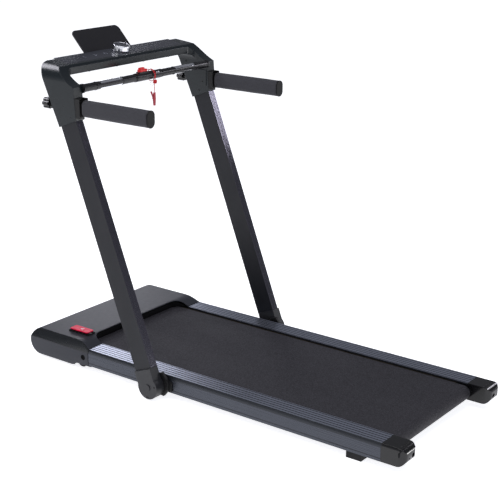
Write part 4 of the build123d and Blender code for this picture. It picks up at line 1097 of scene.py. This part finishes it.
def add_leg_trim():
    """Raised pad and three screws on the inner face of each leg, beside the arm."""
    inner_x = 310.0
    pad_height = 2.2
    outline = [
        (447.0, 888.0),
        (474.0, 888.0),
        (477.0, 891.0),
        (477.0, 940.0),
        (474.0, 943.0),
        (447.0, 943.0),
    ]
    low = [Vector(((inner_x + 0.2) * MM, y * MM, z * MM)) for y, z in outline]
    mid = [Vector(((inner_x - 1.6) * MM, y * MM, z * MM)) for y, z in outline]
    top_x = (inner_x - pad_height) * MM
    centre = Vector((top_x, 461.5 * MM, 915.5 * MM))
    top = [centre + (Vector((top_x, y * MM, z * MM)) - centre) * 0.96 for y, z in outline]
    pads = [swept([low, mid, top])]
    screws = []
    for y, z, size in ((463.0, 901.0, 3.0), (480.0, 868.0, 3.0), (539.0, 965.0, 3.4)):
        lift = 2.3 if y < 470.0 else 0.2
        profile = [(size, 0.0), (size, 0.5), (size - 0.5, 0.8), (1.4, 0.8), (1.2, 0.2), (0.1, 0.2)]
        origin = Vector(((inner_x - lift + 0.2) * MM, y * MM, z * MM))
        screws.append(lathe(profile, origin, (-1, 0, 0), 28))
    pads += [mirrored(part) for part in pads]
    screws += [mirrored(part) for part in screws]
    shape = joined(pads)
    slot = "console_plastic"
    trim = add_piece("leg_inner_pads", *shape, "upper_frame", look["console"], slot, 30.0)
    weight_normals(trim)
    add_piece("leg_inner_screws", *joined(screws), "upper_frame", look["black"], "gloss_black")


def add_socket_details():
    """Collars where the bar's pieces join, and two light dots on the key's socket."""
    bar_low, bar_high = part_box("cross_bar")
    centre = (bar_low + bar_high) / 2
    radius = (bar_high.z - bar_low.z) / 2 / MM
    profile = [
        (radius + 1.5, -1.4),
        (radius + 2.9, -1.0),
        (radius + 3.1, 0.0),
        (radius + 2.9, 1.0),
        (radius + 1.5, 1.4),
    ]
    collars = []
    for x in (-250.0, -128.0, -66.0, 66.0, 128.0, 250.0):
        collars.append(lathe(profile, Vector((x * MM, centre.y, centre.z)), (1, 0, 0), 48))
    add_piece("bar_collars", *joined(collars), "upper_frame", look["gloss"], "gloss_black", 50.0)
    dot_profile = [(2.3, 0.0), (2.3, 0.4), (1.8, 0.6), (0.1, 0.6)]
    tilt = Vector((0.0, -0.8, 0.6)).normalized()
    dots = []
    for x in (34.0, 43.0):
        place = Vector((x * MM, centre.y, centre.z)) + tilt * (14.3 * MM)
        dots.append(lathe(dot_profile, place, tilt, 24))
    add_piece("socket_dots", *joined(dots), "upper_frame", look["dot"], "gloss_black")


finish_uprights()
for node, radius, finish in (
    ("console_housing", 1.0, "console"),
    ("touch_panel", 0.25, "panel"),
    ("tablet_holder", 0.7, "plate"),
    ("holder_bracket", 0.5, "black"),
    ("bar_sleeves", 0.4, "sleeve"),
    ("key_socket", 0.6, "sleeve"),
    ("sensor_plates", 0.15, "chrome"),
    ("safety_key", 1.4, "key"),
    ("arm_brackets", 0.6, "black"),
    ("left_arm_tube", 0.9, "plug"),
    ("right_arm_tube", 0.9, "plug"),
    ("left_clamp_knob", 0.9, "gloss"),
    ("right_clamp_knob", 0.9, "gloss"),
    ("console_cover", 0.3, "black"),
    ("cover_screws", 0.4, "black"),
):
    rounded_copy(node, radius, look[finish])
for side in ("left", "right"):
    add_grip(side)
add_shoe_marks()
add_panel_print()
add_speed_knob()
add_leg_trim()
add_socket_details()


# ---------------------------------------------------------------- floor and light


def add_floor():
    """A white studio floor, which glows a little so that only a faint shadow shows."""
    mesh = bpy.data.meshes.new("floor")
    half = 40.0
    corners = [(-half, -half, 0), (half, -half, 0), (half, half, 0), (-half, half, 0)]
    mesh.from_pydata(corners, [], [(0, 1, 2, 3)])
    floor = bpy.data.objects.new("floor", mesh)
    bpy.context.scene.collection.objects.link(floor)
    material = bpy.data.materials.new("floor")
    material.use_nodes = True
    shader = material.node_tree.nodes["Principled BSDF"]
    shader.inputs["Base Color"].default_value = (0.8, 0.8, 0.8, 1)
    shader.inputs["Roughness"].default_value = 0.8
    shader.inputs["Emission Color"].default_value = (0.97, 0.975, 1.0, 1)
    shader.inputs["Emission Strength"].default_value = 0.88
    mesh.materials.append(material)


def add_softbox(name, place, target, width, height, power, colour=(1, 1, 1)):
    """A rectangular light at a place in metres, aimed at a target, with its power in watts."""
    data = bpy.data.lights.new(name, "AREA")
    data.shape = "RECTANGLE"
    data.size = width
    data.size_y = height
    data.energy = power
    data.color = colour
    light = bpy.data.objects.new(name, data)
    bpy.context.scene.collection.objects.link(light)
    aim = Vector(target) - Vector(place)
    turn = aim.to_track_quat("-Z", "Y").to_matrix().to_4x4()
    light.matrix_world = Matrix.Translation(place) @ turn


def add_world():
    """Bright near the horizon, dimmer higher up, so that black pieces keep their depth."""
    world = bpy.data.worlds.new("studio")
    world.use_nodes = True
    tree = world.node_tree
    coordinates = tree.nodes.new("ShaderNodeTexCoord")
    parts = tree.nodes.new("ShaderNodeSeparateXYZ")
    ramp = tree.nodes.new("ShaderNodeValToRGB")
    tree.links.new(coordinates.outputs["Generated"], parts.inputs["Vector"])
    tree.links.new(parts.outputs["Z"], ramp.inputs["Fac"])
    tree.links.new(ramp.outputs["Color"], tree.nodes["Background"].inputs["Color"])
    ramp.color_ramp.elements[0].position = 0.0
    ramp.color_ramp.elements[0].color = (0.60, 0.61, 0.66, 1)
    ramp.color_ramp.elements[1].position = 1.0
    ramp.color_ramp.elements[1].color = (0.38, 0.39, 0.44, 1)
    for position, value in ((0.10, 0.42), (0.24, 0.20), (0.60, 0.20)):
        stop = ramp.color_ramp.elements.new(position)
        stop.color = (value * 0.96, value * 0.98, value * 1.08, 1)
    tree.nodes["Background"].inputs["Strength"].default_value = 1.0
    bpy.context.scene.world = world
    bpy.context.scene.view_settings.view_transform = "Standard"


add_floor()
add_world()
add_softbox("overhead", (-0.9, -0.6, 3.4), (0, 0, 0.3), 2.6, 2.6, 44, (0.97, 0.97, 1.0))
add_softbox("hood_side", (2.35, 2.9, 1.35), (-0.2, 0.25, 0.1), 0.8, 0.7, 11, (0.92, 0.92, 1.0))
add_softbox("far_leg", (2.9, -1.36, 1.75), (0.33, 0.35, 0.7), 0.42, 0.7, 13, (0.93, 0.91, 1.0))
add_softbox("far_top", (-0.9, 2.75, 3.0), (-0.3, 0.5, 1.0), 1.3, 0.55, 34, (0.93, 0.92, 1.0))
add_softbox("rear_low", (2.0, -2.75, 0.32), (0, -0.72, 0.06), 0.6, 0.3, 9)
add_softbox("left", (-3.6, 1.6, 2.4), (0, 0.2, 0.5), 1.2, 1.8, 22)
